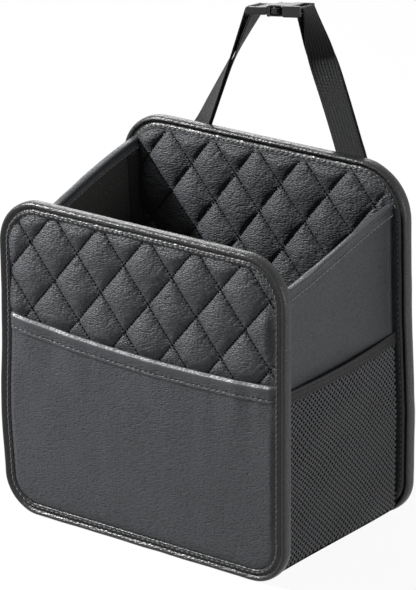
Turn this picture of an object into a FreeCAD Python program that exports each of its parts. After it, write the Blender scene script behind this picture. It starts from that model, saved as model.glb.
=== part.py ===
import FreeCAD, Part
import math
import os
from types import SimpleNamespace

import Sketcher
from FreeCAD import Placement, Rotation, Vector

# Backseat car organizer: an open box of quilted leathercloth that hangs by a buckled strap.
# Millimetres and degrees. X runs to the right, Y from the front to the back, Z up from the floor.

SIZES = {
    # Two bound panels, front and back
    "panel_width": 240.0,
    "organizer_depth": 152.0,
    "front_plane": -90.7,
    "front_height": 232.0,
    "back_height": 256.0,
    "low_corner_radius": 28.0,
    "front_top_radius": 33.0,
    "back_top_radius": 37.0,
    "skin_thickness": 1.6,
    "board_thickness": 2.0,
    "felt_thickness": 1.6,
    "seam_gap": 0.2,
    # Tape folded round the edge of a panel
    "binding_width": 8.2,
    "binding_wall": 1.4,
    "binding_bevel": 1.9,
    # Diamond quilting
    "quilt_loft": 2.6,
    "quilt_groove": 0.3,
    "quilt_margin": 1.5,
    "quilt_slope": 48.0,
    "front_diamond_width": 40.0,
    "front_diamond_height": 48.0,
    "front_crossing_x": 7.0,
    "front_crossing_z": 179.0,
    "back_diamond_width": 38.2,
    "back_diamond_height": 46.6,
    "back_crossing_x": -1.0,
    "back_crossing_z": 203.0,
    # Slip pocket on the front
    "pocket_left_height": 148.0,
    "pocket_right_height": 143.5,
    "pocket_sag": 5.2,
    "pocket_thickness": 1.2,
    "pocket_hem_depth": 9.0,
    "pocket_hem_rise": 0.8,
    # Side gussets
    "side_inset": 11.0,
    "base_rise": 8.5,
    "gusset_thickness": 1.6,
    "side_front_drop": 30.0,
    "side_back_drop": 28.0,
    "top_tape_wall": 0.9,
    "top_tape_height": 7.5,
    "corner_tape_width": 12.0,
    "corner_tape_thickness": 0.8,
    # Net pockets on the gussets
    "net_thickness": 1.0,
    "net_low": 10.5,
    "net_front_height": 135.0,
    "net_back_height": 138.0,
    "net_band_height": 8.0,
    "net_band_thickness": 2.0,
    # Webbing
    "webbing_width": 25.0,
    "webbing_thickness": 1.3,
    "webbing_loop_radius": 2.4,
    "webbing_loop_drop": 12.0,
    "webbing_slack": 1.0,
    "webbing_tail": 26.0,
    "left_crest_x": -62.0,
    "left_crest_stand": 8.0,
    "left_crest_turn": -25.0,
    "left_root_x": -74.0,
    "left_root_drop": 34.0,
    "right_crest_x": 64.5,
    "right_crest_stand": 5.4,
    "right_crest_turn": 8.0,
    "right_root_x": 73.5,
    "right_root_drop": 20.0,
    # Side-release buckle, in its own axes: x from plug to socket, y across, z through
    "buckle_shift": 2.2,
    "buckle_stand": 8.8,
    "buckle_lift": 91.0,
    "buckle_yaw": 16.2,
    "buckle_climb": 3.5,
    "buckle_roll": 10.0,
    "buckle_bar_span": 41.2,
    "buckle_width": 33.0,
    "buckle_bar_length": 3.2,
    "buckle_bar_thickness": 3.6,
    "buckle_slot_length": 4.2,
    "buckle_slot_width": 26.4,
    "buckle_mouth": -5.5,
    "buckle_gap": 0.4,
    "buckle_edge": 0.9,
    "socket_thickness": 8.0,
    "socket_wall": 1.6,
    "socket_depth": 17.0,
    "socket_lip_length": 2.8,
    "socket_lip_width": 30.4,
    "socket_window_length": 8.0,
    "socket_window_width": 23.4,
    "socket_flare": 2.6,
    "plug_thickness": 5.6,
    "plug_arm_root": 8.0,
    "plug_arm_width": 3.4,
    "plug_barb": 3.0,
    "plug_arm_reach": 15.0,
    "plug_tongue_width": 4.4,
    "plug_tongue_reach": 13.5,
    "plug_tongue_thickness": 3.0,
}

TOUCH = 1e-4
# How far out from the middle of a quilted diamond each of its facets' corners lies
PILLOW_RINGS = (1.0, 0.76, 0.48, 0.18)
# Spans of webbing between its tail, its root, the top of the back and its neck
WEBBING_SPAN_COUNTS = (1, 3, 12)


class Size:
    """A size and its formula, so that geometry and bound expressions come from one line."""

    def __init__(self, value, text):
        self.value = value
        self.text = text

    def __add__(self, other):
        other = as_size(other)
        return Size(self.value + other.value, f"({self.text} + {other.text})")

    def __sub__(self, other):
        other = as_size(other)
        return Size(self.value - other.value, f"({self.text} - {other.text})")

    def __mul__(self, other):
        other = as_size(other)
        return Size(self.value * other.value, f"({self.text} * {other.text})")

    def __truediv__(self, other):
        other = as_size(other)
        return Size(self.value / other.value, f"({self.text} / {other.text})")

    def __neg__(self):
        return as_size(0) - self


def as_size(item):
    return item if isinstance(item, Size) else Size(float(item), repr(float(item)))


doc = FreeCAD.newDocument("BackseatOrganizer")
sheet = doc.addObject("Spreadsheet::Sheet", "Sizes")
for row, (alias, number) in enumerate(SIZES.items(), 1):
    sheet.set(f"A{row}", alias)
    sheet.set(f"B{row}", str(number))
    sheet.setAlias(f"B{row}", alias)
doc.recompute()
S = SimpleNamespace(**{name: Size(float(sheet.get(name)), f"Sizes.{name}") for name in SIZES})
nodes = {}


# Sketch and feature helpers

def new_body(label, x=None, y=None, z=None):
    body = doc.addObject("PartDesign::Body", label)
    for axis, size in (("x", x), ("y", y), ("z", z)):
        if size is not None:
            body.setExpression(f"Placement.Base.{axis}", size.text)
    return body


def node(label, item):
    """Keep a finished sub-part under the name of its file."""
    item.Label = label
    nodes[label] = item
    return item


def new_sketch(body, plane, offset=None):
    sketch = body.newObject("Sketcher::SketchObject", f"{body.Name}_sketch")
    support = next(item for item in body.Origin.OriginFeatures if item.Role == plane)
    sketch.AttachmentSupport = (support, [""])
    sketch.MapMode = "FlatFace"
    if offset is not None:
        sketch.setExpression("AttachmentOffset.Base.z", offset.text)
    return sketch


def extrude(kind, body, sketch, length, symmetric=False, reverse=False):
    feature = body.newObject(f"PartDesign::{kind}", f"{body.Name}_{kind.lower()}")
    feature.Profile = sketch
    feature.setExpression("Length", length.text)
    feature.Reversed = reverse
    if symmetric:
        feature.SideType = "Symmetric"
    return feature


def fillet(body, base, names, radius):
    feature = body.newObject("PartDesign::Fillet", f"{body.Name}_fillet")
    feature.Base = (base, names)
    feature.setExpression("Radius", radius.text)
    return feature


def edge_names(shape, wanted):
    return [f"Edge{number}" for number, edge in enumerate(shape.Edges, 1) if wanted(edge)]


def dimension(sketch, kind, *items):
    """A dimension whose last item is the size that drives it."""
    *places, size = items
    index = sketch.addConstraint(Sketcher.Constraint(kind, *places, size.value))
    sketch.setExpression(f"Constraints[{index}]", size.text)


def constrain(sketch, kind, *items):
    sketch.addConstraint(Sketcher.Constraint(kind, *items))


def pin(sketch, geometry, point, x=None, y=None):
    """Place a point of a sketch by its distance from the two axes, on either side."""
    for kind, axis, size in (("DistanceX", -2, x), ("DistanceY", -1, y)):
        if size is None:
            continue
        if abs(size.value) < TOUCH:
            constrain(sketch, "PointOnObject", geometry, point, axis)
        elif size.value > 0:
            dimension(sketch, kind, -1, 1, geometry, point, size)
        else:
            dimension(sketch, kind, geometry, point, -1, 1, -size)


def add_line(sketch, start, end):
    return sketch.addGeometry(Part.LineSegment(Vector(*start), Vector(*end)))


def add_arc(sketch, centre, radius, start, end):
    circle = Part.Circle(Vector(*centre), Vector(0, 0, 1), radius)
    return sketch.addGeometry(Part.ArcOfCircle(circle, math.radians(start), math.radians(end)))


def draw_polygon(sketch, points):
    """A closed run of straight lines through points given as pairs of sizes."""
    places = [(x.value, y.value) for x, y in points]
    lines = [add_line(sketch, here, after) for here, after in zip(places, places[1:] + places[:1])]
    for here, after in zip(lines, lines[1:] + lines[:1]):
        constrain(sketch, "Coincident", here, 2, after, 1)
    for line, (x, y) in zip(lines, points):
        pin(sketch, line, 1, x, y)


def draw_box(sketch, x_low, x_high, y_low, y_high):
    draw_polygon(sketch, [(x_low, y_low), (x_high, y_low), (x_high, y_high), (x_low, y_high)])


class Outline:
    """An upright rectangle with round corners, centred on the Z axis."""

    def __init__(self, half_width, low, high, low_radius, top_radius):
        self.half_width = half_width
        self.low = low
        self.high = high
        self.low_radius = low_radius
        self.top_radius = top_radius

    def inset(self, size):
        return Outline(
            self.half_width - size,
            self.low + size,
            self.high - size,
            self.low_radius - size,
            self.top_radius - size,
        )

    def draw(self, sketch):
        w, low, high = self.half_width.value, self.low.value, self.high.value
        r, t = self.low_radius.value, self.top_radius.value
        loop = [
            add_line(sketch, (r - w, low), (w - r, low)),
            add_arc(sketch, (w - r, low + r), r, -90, 0),
            add_line(sketch, (w, low + r), (w, high - t)),
            add_arc(sketch, (w - t, high - t), t, 0, 90),
            add_line(sketch, (w - t, high), (t - w, high)),
            add_arc(sketch, (t - w, high - t), t, 90, 180),
            add_line(sketch, (-w, high - t), (-w, low + r)),
            add_arc(sketch, (r - w, low + r), r, 180, 270),
        ]
        for here, after in zip(loop, loop[1:] + loop[:1]):
            constrain(sketch, "Tangent", here, 2, after, 1)
        bottom, low_right, right, top_right, top, top_left, left, low_left = loop
        for line in (bottom, top):
            constrain(sketch, "Horizontal", line)
        for line in (right, left):
            constrain(sketch, "Vertical", line)
        for arc, radius in (
            (low_right, self.low_radius),
            (low_left, self.low_radius),
            (top_right, self.top_radius),
            (top_left, self.top_radius),
        ):
            dimension(sketch, "Radius", arc, radius)
        pin(sketch, bottom, 1, y=self.low)
        pin(sketch, top, 1, y=self.high)
        pin(sketch, right, 1, x=self.half_width)
        pin(sketch, left, 1, x=-self.half_width)


# Shared places

HALF = S.panel_width / 2
FRONT = Outline(HALF, as_size(0), S.front_height, S.low_corner_radius, S.front_top_radius)
BACK = Outline(HALF, as_size(0), S.back_height, S.low_corner_radius, S.back_top_radius)

front_stack = S.skin_thickness + S.board_thickness + S.felt_thickness
back_stack = S.skin_thickness + S.board_thickness + S.skin_thickness
front_face = S.front_plane
front_skin = front_face + S.binding_wall
front_board = front_skin + S.skin_thickness
front_felt = front_board + S.board_thickness
front_inside = front_felt + S.felt_thickness + S.binding_wall
back_face = S.front_plane + S.organizer_depth
back_skin = back_face - S.binding_wall
back_board = back_skin - S.skin_thickness
back_quilt = back_board - S.board_thickness
back_inside = back_quilt - S.skin_thickness - S.binding_wall

side_front_height = S.front_height - S.side_front_drop
side_back_height = S.back_height - S.side_back_drop
gusset_outside = HALF - S.side_inset
gusset_inside = gusset_outside - S.gusset_thickness
felt_inside = gusset_inside - S.felt_thickness
base_board_low = S.base_rise + S.skin_thickness
base_felt_low = base_board_low + S.board_thickness
base_top = base_felt_low + S.felt_thickness


# Front and back panels

def edge_binding(label, outline, rear, stack):
    """Tape folded over the edge of a panel: a ring with a groove that holds the layers."""
    body = new_body(label, y=rear)
    ring = new_sketch(body, "XZ_Plane")
    outline.draw(ring)
    outline.inset(S.binding_width).draw(ring)
    extrude("Pad", body, ring, stack + S.binding_wall * 2)
    groove = new_sketch(body, "XZ_Plane", S.binding_wall)
    outline.inset(S.binding_wall).draw(groove)
    cut = extrude("Pocket", body, groove, stack, reverse=True)
    doc.recompute()

    def on_rim(edge):
        box = edge.BoundBox
        if box.YLength > TOUCH:
            return False
        if isinstance(edge.Curve, Part.Circle):
            radii = (outline.low_radius.value, outline.top_radius.value)
            return min(abs(edge.Curve.Radius - radius) for radius in radii) < TOUCH
        middle = box.Center
        return (
            abs(middle.z - outline.low.value) < TOUCH
            or abs(middle.z - outline.high.value) < TOUCH
            or abs(abs(middle.x) - outline.half_width.value) < TOUCH
        )

    bevel = body.newObject("PartDesign::Chamfer", f"{label}_bevel")
    bevel.Base = (cut, edge_names(cut.Shape, on_rim))
    bevel.setExpression("Size", S.binding_bevel.text)
    return node(label, body)


def layer(label, outline, rear, thickness, field=None, field_in_front=False):
    """A layer held in the binding, with a field that comes level with the tape on one side."""
    body = new_body(label, y=rear)
    flange = new_sketch(body, "XZ_Plane")
    outline.inset(S.binding_wall).draw(flange)
    extrude("Pad", body, flange, thickness)
    if field is not None:
        middle = new_sketch(body, "XZ_Plane", thickness if field_in_front else None)
        outline.inset(S.binding_width + S.seam_gap).draw(middle)
        extrude("Pad", body, middle, field, reverse=not field_in_front)
    return body


def pillow_faces(corners, loft):
    """One quilted diamond, domed in facets from its stitched edges to its middle."""
    middle = (corners[0] + corners[2]) / 2
    rings = []
    for share in PILLOW_RINGS:
        lift = Vector(0, -loft * (1 - share * share), 0)
        rings.append([middle + (corner - middle) * share + lift for corner in corners])
    faces = [Part.Face(Part.makePolygon(rings[-1] + rings[-1][:1]))]
    for lower, upper in zip(rings, rings[1:]):
        for side in range(len(corners)):
            after = (side + 1) % len(corners)
            band = [lower[side], lower[after], upper[after], upper[side], lower[side]]
            faces.append(Part.Face(Part.makePolygon(band)))
    return faces


def quilted_cells(label, ground, reach, crossing, diamond):
    """Diamond pillows over an upright rectangle, on a bed as thick as the skin below them."""
    half_w, half_h = diamond[0].value / 2, diamond[1].value / 2
    rise, fall = Vector(half_w, 0, half_h), Vector(half_w, 0, -half_h)
    bed = Vector(0, S.skin_thickness.value / 2 + S.quilt_groove.value, 0)
    low, high = reach
    faces, borders = [], {}
    columns = range(math.floor((-HALF.value - crossing[0].value) / half_w) - 1,
                    math.ceil((HALF.value - crossing[0].value) / half_w) + 1)
    rows = range(math.floor((low - crossing[1].value) / half_h),
                 math.ceil((high - crossing[1].value) / half_h) + 1)
    for column in columns:
        for line in rows:
            if (column + line) % 2:
                continue
            left = Vector(crossing[0].value + column * half_w, 0,
                          crossing[1].value + line * half_h)
            corners = [left, left + rise, left + rise + fall, left + fall]
            faces += pillow_faces(corners, S.quilt_loft.value)
            under = [corner + bed for corner in corners]
            faces.append(Part.Face(Part.makePolygon(under + under[:1])))
            for start, end in zip(corners, corners[1:] + corners[:1]):
                middle = (start + end) / 2
                key = (round(middle.x, 3), round(middle.z, 3))
                borders.setdefault(key, []).append((start, end))
    for shared in borders.values():
        if len(shared) == 1:
            start, end = shared[0]
            wall = [start, end, end + bed, start + bed, start]
            faces.append(Part.Face(Part.makePolygon(wall)))
    solid = Part.makeSolid(Part.makeShell(faces))
    if solid.Volume < 0:
        solid.reverse()
    cells = doc.addObject("Part::Feature", f"{label}_cells")
    cells.Shape = solid
    cells.Placement = Placement(Vector(0, ground.value - S.quilt_groove.value, 0), Rotation())
    return cells


def quilted_panel(label, base, ground, draw_region, reach, crossing, diamond):
    """A quilted skin: pillows that thin out towards the edge of their region, on a flat layer."""
    cells = quilted_cells(label, ground, reach, crossing, diamond)
    region = new_body(f"{label}_region", y=ground + S.skin_thickness / 4)
    sketch = new_sketch(region, "XZ_Plane")
    draw_region(sketch)
    block = extrude("Pad", region, sketch, S.quilt_loft + S.skin_thickness)
    block.setExpression("TaperAngle", (-S.quilt_slope).text)
    relief = doc.addObject("Part::Common", f"{label}_relief")
    relief.Base, relief.Tool = cells, region
    skin = doc.addObject("Part::Fuse", label)
    skin.Base, skin.Tool = base, relief
    skin.Refine = True
    return node(label, skin)


def add_pocket_edge(sketch, half, shift):
    """The sagging line of the pocket's edge, moved down by shift, from left to right."""
    fall = S.pocket_left_height - S.pocket_right_height
    chord_squared = half * half * 4 + fall * fall
    radius = (chord_squared / 4 + S.pocket_sag * S.pocket_sag) / (S.pocket_sag * 2)
    left = Vector(-half.value, S.pocket_left_height.value, 0)
    right = Vector(half.value, S.pocket_right_height.value, 0)
    chord = right - left
    normal = Vector(-chord.y, chord.x, 0).normalize()
    centre = (left + right) / 2 + normal * (radius.value - S.pocket_sag.value)
    start, end = (math.degrees(math.atan2(p.y - centre.y, p.x - centre.x)) for p in (left, right))
    arc = add_arc(sketch, (centre.x, centre.y), radius.value + shift.value, start, end)
    dimension(sketch, "Radius", arc, radius + shift)
    pin(sketch, arc, 3, Size(centre.x, centre_text(half, radius, fall, "x")),
        Size(centre.y, centre_text(half, radius, fall, "y")))
    return arc


def centre_text(half, radius, fall, axis):
    """Formula for the middle of the circle that the pocket's edge follows."""
    length = f"sqrt({(half * half * 4 + fall * fall).text})"
    reach = f"({radius.text} - {S.pocket_sag.text})"
    if axis == "x":
        return f"({fall.text} / {length} * {reach})"
    middle = f"({S.pocket_left_height.text} + {S.pocket_right_height.text}) / 2"
    return f"({middle} + 2 * {half.text} / {length} * {reach})"


def slip_pocket(label):
    """The smooth pocket over the lower front, with its edge turned into a hem."""
    body = new_body(label, y=front_skin)
    inner = FRONT.inset(S.binding_width + S.seam_gap)
    half, low, radius = inner.half_width, inner.low, inner.low_radius
    w, z, r = half.value, low.value, radius.value
    sketch = new_sketch(body, "XZ_Plane")
    edge = add_pocket_edge(sketch, half, as_size(0))
    bottom = add_line(sketch, (r - w, z), (w - r, z))
    low_right = add_arc(sketch, (w - r, z + r), r, -90, 0)
    right = add_line(sketch, (w, z + r), (w, S.pocket_right_height.value))
    left = add_line(sketch, (-w, S.pocket_left_height.value), (-w, z + r))
    low_left = add_arc(sketch, (r - w, z + r), r, 180, 270)
    for here, after in ((bottom, low_right), (low_right, right), (left, low_left), (low_left, bottom)):
        constrain(sketch, "Tangent", here, 2, after, 1)
    constrain(sketch, "Coincident", right, 2, edge, 2)
    constrain(sketch, "Coincident", left, 1, edge, 1)
    constrain(sketch, "Horizontal", bottom)
    for line in (right, left):
        constrain(sketch, "Vertical", line)
    for arc in (low_right, low_left):
        dimension(sketch, "Radius", arc, radius)
    pin(sketch, bottom, 1, y=low)
    pin(sketch, right, 1, x=half)
    pin(sketch, left, 1, x=-half)
    extrude("Pad", body, sketch, S.pocket_thickness)
    hem = new_sketch(body, "XZ_Plane", S.pocket_thickness)
    upper = add_pocket_edge(hem, half, as_size(0))
    lower = add_pocket_edge(hem, half, S.pocket_hem_depth)
    for side, point in ((half, 2), (-half, 1)):
        high = S.pocket_right_height if point == 2 else S.pocket_left_height
        line = add_line(hem, (side.value, high.value - S.pocket_hem_depth.value),
                        (side.value, high.value))
        constrain(hem, "Vertical", line)
        constrain(hem, "Coincident", line, 2, upper, point)
        constrain(hem, "Coincident", line, 1, lower, point)
        pin(hem, line, 1, x=side)
    extrude("Pad", body, hem, S.pocket_hem_rise)
    return node(label, body)


def draw_front_quilt(sketch):
    """The quilted field of the front: from the pocket's edge up to the binding."""
    field = FRONT.inset(S.binding_width + S.quilt_margin)
    half, high, radius = field.half_width, field.high, field.top_radius
    w, z, t = half.value, high.value, radius.value
    edge = add_pocket_edge(sketch, half, -S.quilt_margin)
    right = add_line(sketch, (w, S.pocket_right_height.value + S.quilt_margin.value), (w, z - t))
    top_right = add_arc(sketch, (w - t, z - t), t, 0, 90)
    top = add_line(sketch, (w - t, z), (t - w, z))
    top_left = add_arc(sketch, (t - w, z - t), t, 90, 180)
    left = add_line(sketch, (-w, z - t), (-w, S.pocket_left_height.value + S.quilt_margin.value))
    for here, after in ((right, top_right), (top_right, top), (top, top_left), (top_left, left)):
        constrain(sketch, "Tangent", here, 2, after, 1)
    constrain(sketch, "Coincident", right, 1, edge, 2)
    constrain(sketch, "Coincident", left, 2, edge, 1)
    constrain(sketch, "Horizontal", top)
    for line in (right, left):
        constrain(sketch, "Vertical", line)
    for arc in (top_right, top_left):
        dimension(sketch, "Radius", arc, radius)
    pin(sketch, top, 1, y=high)
    pin(sketch, right, 2, x=half)
    pin(sketch, left, 1, x=-half)


def draw_back_quilt(sketch):
    """The quilted field of the back: between the gussets, from the base up to the binding."""
    field = BACK.inset(S.binding_width + S.quilt_margin)
    room = S.top_tape_wall + S.corner_tape_thickness + S.quilt_margin
    Outline(
        felt_inside - room,
        base_top + S.quilt_margin,
        field.high,
        S.quilt_margin,
        field.top_radius,
    ).draw(sketch)


def make_panels():
    base = layer("front_skin", FRONT, front_board, S.skin_thickness)
    quilted_panel(
        "front_quilted_panel", base, front_skin, draw_front_quilt,
        (S.pocket_right_height.value - S.pocket_sag.value * 2, S.front_height.value),
        (S.front_crossing_x, S.front_crossing_z),
        (S.front_diamond_width, S.front_diamond_height),
    )
    node("front_board", layer("front_board", FRONT, front_felt, S.board_thickness))
    felt_rear = front_felt + S.felt_thickness
    node("front_lining", layer("front_lining", FRONT, felt_rear, S.felt_thickness, S.binding_wall))
    slip_pocket("front_pocket")
    edge_binding("front_edge_binding", FRONT, front_inside, front_stack)

    base = layer("back_skin", BACK, back_quilt, S.skin_thickness, S.binding_wall, True)
    quilted_panel(
        "back_quilted_panel", base, back_inside, draw_back_quilt,
        (base_top.value, S.back_height.value),
        (S.back_crossing_x, S.back_crossing_z),
        (S.back_diamond_width, S.back_diamond_height),
    )
    node("back_board", layer("back_board", BACK, back_board, S.board_thickness))
    node("back_outer_panel",
         layer("back_outer_panel", BACK, back_skin, S.skin_thickness, S.binding_wall))
    edge_binding("back_edge_binding", BACK, back_face, back_stack)


# Side gussets

def add_slope(sketch, lift):
    """The S line of a gusset's top edge, raised by lift: hollow at its low end, crowned at its high end.

    It comes back as the front arc, the back arc and the number of their outer points.
    """
    run = back_inside - front_inside
    climb = side_back_height - side_front_height
    bend = (run * run + climb * climb) / (climb * 4)
    turn = math.degrees(2 * math.atan2(climb.value, run.value))
    rises = climb.value > 0
    outer, inner = (1, 2) if rises else (2, 1)
    low, high = (-90, 90) if rises else (90, -90)
    front = add_arc(
        sketch, (front_inside.value, side_front_height.value + bend.value),
        abs(bend.value - lift.value), *sorted((low, low + turn)),
    )
    back = add_arc(
        sketch, (back_inside.value, side_back_height.value - bend.value),
        abs(bend.value + lift.value), *sorted((high, high + turn)),
    )
    constrain(sketch, "Tangent", front, inner, back, inner)
    for arc in (front, back):
        constrain(sketch, "Vertical", arc, 3, arc, outer)
    dimension(sketch, "Radius", front, bend - lift if rises else lift - bend)
    pin(sketch, front, outer, front_inside, side_front_height + lift)
    pin(sketch, back, outer, back_inside, side_back_height + lift)
    return front, back, outer


def add_upright(sketch, y, low, high):
    line = add_line(sketch, (y.value, low), (y.value, high))
    constrain(sketch, "Vertical", line)
    return line


def gusset_layer(label, x, low, thickness):
    """A side wall from low up to the S line."""
    body = new_body(label, x=x)
    sketch = new_sketch(body, "YZ_Plane")
    front_arc, back_arc, outer = add_slope(sketch, as_size(0))
    bottom = add_line(sketch, (front_inside.value, low.value), (back_inside.value, low.value))
    rear = add_upright(sketch, back_inside, low.value, side_back_height.value)
    front = add_upright(sketch, front_inside, low.value, side_front_height.value)
    constrain(sketch, "Horizontal", bottom)
    constrain(sketch, "Coincident", bottom, 1, front, 1)
    constrain(sketch, "Coincident", bottom, 2, rear, 1)
    constrain(sketch, "Coincident", front, 2, front_arc, outer)
    constrain(sketch, "Coincident", rear, 2, back_arc, outer)
    pin(sketch, bottom, 1, y=low)
    extrude("Pad", body, sketch, thickness)
    return node(label, body)


def draw_slope_band(sketch, top, bottom):
    """The band between two lifted S lines."""
    *upper, outer = add_slope(sketch, top)
    *lower, outer = add_slope(sketch, bottom)
    ends = (
        (front_inside, side_front_height, 0),
        (back_inside, side_back_height, 1),
    )
    for y, high, which in ends:
        line = add_line(sketch, (y.value, high.value + bottom.value), (y.value, high.value + top.value))
        constrain(sketch, "Coincident", line, 1, lower[which], outer)
        constrain(sketch, "Coincident", line, 2, upper[which], outer)


def top_binding(label, x):
    """Folded tape over the top edge of a gusset and its lining."""
    body = new_body(label, x=x)
    stack = S.gusset_thickness + S.felt_thickness
    strip = new_sketch(body, "YZ_Plane")
    draw_slope_band(strip, S.top_tape_wall, -S.top_tape_height)
    extrude("Pad", body, strip, stack + S.top_tape_wall * 2)
    groove = new_sketch(body, "YZ_Plane", S.top_tape_wall)
    draw_slope_band(groove, as_size(0), -S.top_tape_height)
    extrude("Pocket", body, groove, stack, reverse=True)
    return node(label, body)


def net_layer(label, x, low_front, low_back, high_front, high_back, thickness):
    """A strip of the net pocket on the outside of a gusset."""
    body = new_body(label, x=x)
    sketch = new_sketch(body, "YZ_Plane")
    draw_polygon(sketch, [
        (front_inside, low_front), (back_inside, low_back),
        (back_inside, high_back), (front_inside, high_front),
    ])
    extrude("Pad", body, sketch, thickness)
    return node(label, body)


def plate(label, x, y, z, length, width, height):
    """A flat rectangular piece from its low corner."""
    box = doc.addObject("Part::Box", label)
    for name, size in (("Length", length), ("Width", width), ("Height", height)):
        box.setExpression(name, size.text)
    for axis, size in (("x", x), ("y", y), ("z", z)):
        box.setExpression(f"Placement.Base.{axis}", size.text)
    return node(label, box)


def make_sides():
    stack = S.gusset_thickness + S.felt_thickness + S.top_tape_wall
    net_top = (S.net_front_height - S.net_band_height, S.net_back_height - S.net_band_height)
    for side, place in (("left", -1), ("right", 1)):

        def start(near, far):
            """The low-X face of a layer whose faces lie at near and far from the middle."""
            return near if place > 0 else -far

        gusset_layer(f"{side}_side_panel", start(gusset_inside, gusset_outside),
                     S.base_rise, S.gusset_thickness)
        gusset_layer(f"{side}_side_lining", start(felt_inside, gusset_inside),
                     base_board_low, S.felt_thickness)
        tape_outside = gusset_outside + S.top_tape_wall
        top_binding(f"{side}_top_binding", start(tape_outside - stack - S.top_tape_wall, tape_outside))
        net_layer(f"{side}_mesh_pocket", start(gusset_outside, gusset_outside + S.net_thickness),
                  S.net_low, S.net_low, *net_top, S.net_thickness)
        net_layer(f"{side}_mesh_band", start(gusset_outside, gusset_outside + S.net_band_thickness),
                  *net_top, S.net_front_height, S.net_back_height, S.net_band_thickness)
        tape_x = start(felt_inside - S.corner_tape_thickness, felt_inside)
        for end, y, height in (
            ("front", front_inside, side_front_height),
            ("back", back_inside - S.corner_tape_width, side_back_height),
        ):
            top = height - S.top_tape_height - S.quilt_margin
            plate(f"{side}_{end}_corner_tape", tape_x, y, base_top,
                  S.corner_tape_thickness, S.corner_tape_width, top - base_top)


def make_base():
    run = back_inside - front_inside
    plate("base_panel", -gusset_inside, front_inside, S.base_rise,
          gusset_inside * 2, run, S.skin_thickness)
    plate("base_board", -felt_inside, front_inside, base_board_low,
          felt_inside * 2, run, S.board_thickness)
    plate("base_lining", -felt_inside, front_inside, base_felt_low,
          felt_inside * 2, run, S.felt_thickness)


# Side-release buckle, drawn round its own middle

buckle_middle = Vector(
    S.buckle_shift.value,
    back_face.value + S.buckle_stand.value,
    S.back_height.value + S.buckle_lift.value,
)
buckle_turn = Rotation(S.buckle_yaw.value, -S.buckle_climb.value, -S.buckle_roll.value)
buckle_place = Placement(buckle_middle, buckle_turn)
bar = S.buckle_bar_span / 2
bar_outer = bar + S.buckle_bar_length / 2
bar_inner = bar - S.buckle_bar_length / 2
slot_end = bar_inner - S.buckle_slot_length
buckle_half = S.buckle_width / 2
slot_half = S.buckle_slot_width / 2


def cut_webbing_slot(body, end, thickness):
    """The slot for the webbing, and the bar beyond it thinned from both faces."""
    def span(near, far):
        return (near, far) if end > 0 else (-far, -near)

    slot = new_sketch(body, "XY_Plane")
    draw_box(slot, *span(slot_end, bar_inner), -slot_half, slot_half)
    extrude("Pocket", body, slot, thickness * 2, symmetric=True)
    depth = (thickness - S.buckle_bar_thickness) / 2
    for face in (1, -1):
        waist = new_sketch(body, "XY_Plane", thickness / 2 * face)
        draw_box(waist, *span(bar_inner - S.buckle_gap, bar_outer + S.buckle_gap), -slot_half, slot_half)
        extrude("Pocket", body, waist, depth, reverse=face < 0)


def round_bar(body, end):
    """Round the bar where the webbing turns over it."""
    doc.recompute()
    tip = body.Tip

    def on_bar(edge):
        box = edge.BoundBox
        x = box.Center.x * end
        return (
            abs(box.YLength - S.buckle_slot_width.value) < TOUCH
            and box.XLength < TOUCH
            and min(abs(x - bar_inner.value), abs(x - bar_outer.value)) < TOUCH
            and abs(abs(box.Center.z) - S.buckle_bar_thickness.value / 2) < TOUCH
        )

    fillet(body, tip, edge_names(tip.Shape, on_bar), S.buckle_edge)


def round_outline(body, base, thickness):
    """Round the edges of a padded outline on both faces."""
    doc.recompute()
    names = edge_names(
        base.Shape,
        lambda edge: edge.BoundBox.ZLength < TOUCH
        and abs(abs(edge.BoundBox.Center.z) - thickness.value / 2) < TOUCH,
    )
    return fillet(body, base, names, S.buckle_edge)


def make_socket():
    body = new_body("buckle_socket")
    sketch = new_sketch(body, "XY_Plane")
    mouth, lip = S.buckle_mouth, S.buckle_mouth + S.socket_lip_length
    recess_end = lip + S.socket_window_length
    flare_end = recess_end + S.socket_flare
    lip_half, window_half = S.socket_lip_width / 2, S.socket_window_width / 2
    upper = [
        (bar_outer, buckle_half), (flare_end, buckle_half), (recess_end, window_half),
        (lip, window_half), (lip, lip_half), (mouth, lip_half),
    ]
    draw_polygon(sketch, upper + [(x, -y) for x, y in reversed(upper)])
    base = extrude("Pad", body, sketch, S.socket_thickness, symmetric=True)
    round_outline(body, base, S.socket_thickness)
    cavity = new_sketch(body, "YZ_Plane", mouth)
    room = S.socket_thickness / 2 - S.socket_wall
    width = S.plug_arm_root + S.plug_arm_width + S.buckle_gap * 2
    draw_box(cavity, -width, width, -room, room)
    extrude("Pocket", body, cavity, S.socket_depth, reverse=True)
    cut_webbing_slot(body, 1, S.socket_thickness)
    round_bar(body, 1)
    body.Placement = buckle_place
    return node("buckle_socket", body)


def make_plug():
    body = new_body("buckle_plug")
    shoulder = S.buckle_mouth - S.buckle_gap
    sketch = new_sketch(body, "XY_Plane")
    lip_half = S.socket_lip_width / 2
    draw_polygon(sketch, [
        (-bar_outer, -buckle_half), (-slot_end, -buckle_half), (shoulder, -lip_half),
        (shoulder, lip_half), (-slot_end, buckle_half), (-bar_outer, buckle_half),
    ])
    base = extrude("Pad", body, sketch, S.plug_thickness, symmetric=True)
    round_outline(body, base, S.plug_thickness)
    cut_webbing_slot(body, -1, S.plug_thickness)
    tongue = new_sketch(body, "XY_Plane")
    tongue_half = S.plug_tongue_width / 2
    root = shoulder - S.buckle_gap * 2
    draw_box(tongue, root, shoulder + S.plug_tongue_reach, -tongue_half, tongue_half)
    extrude("Pad", body, tongue, S.plug_tongue_thickness, symmetric=True)
    round_bar(body, -1)
    body.Placement = buckle_place
    return node("buckle_plug", body)


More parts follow.
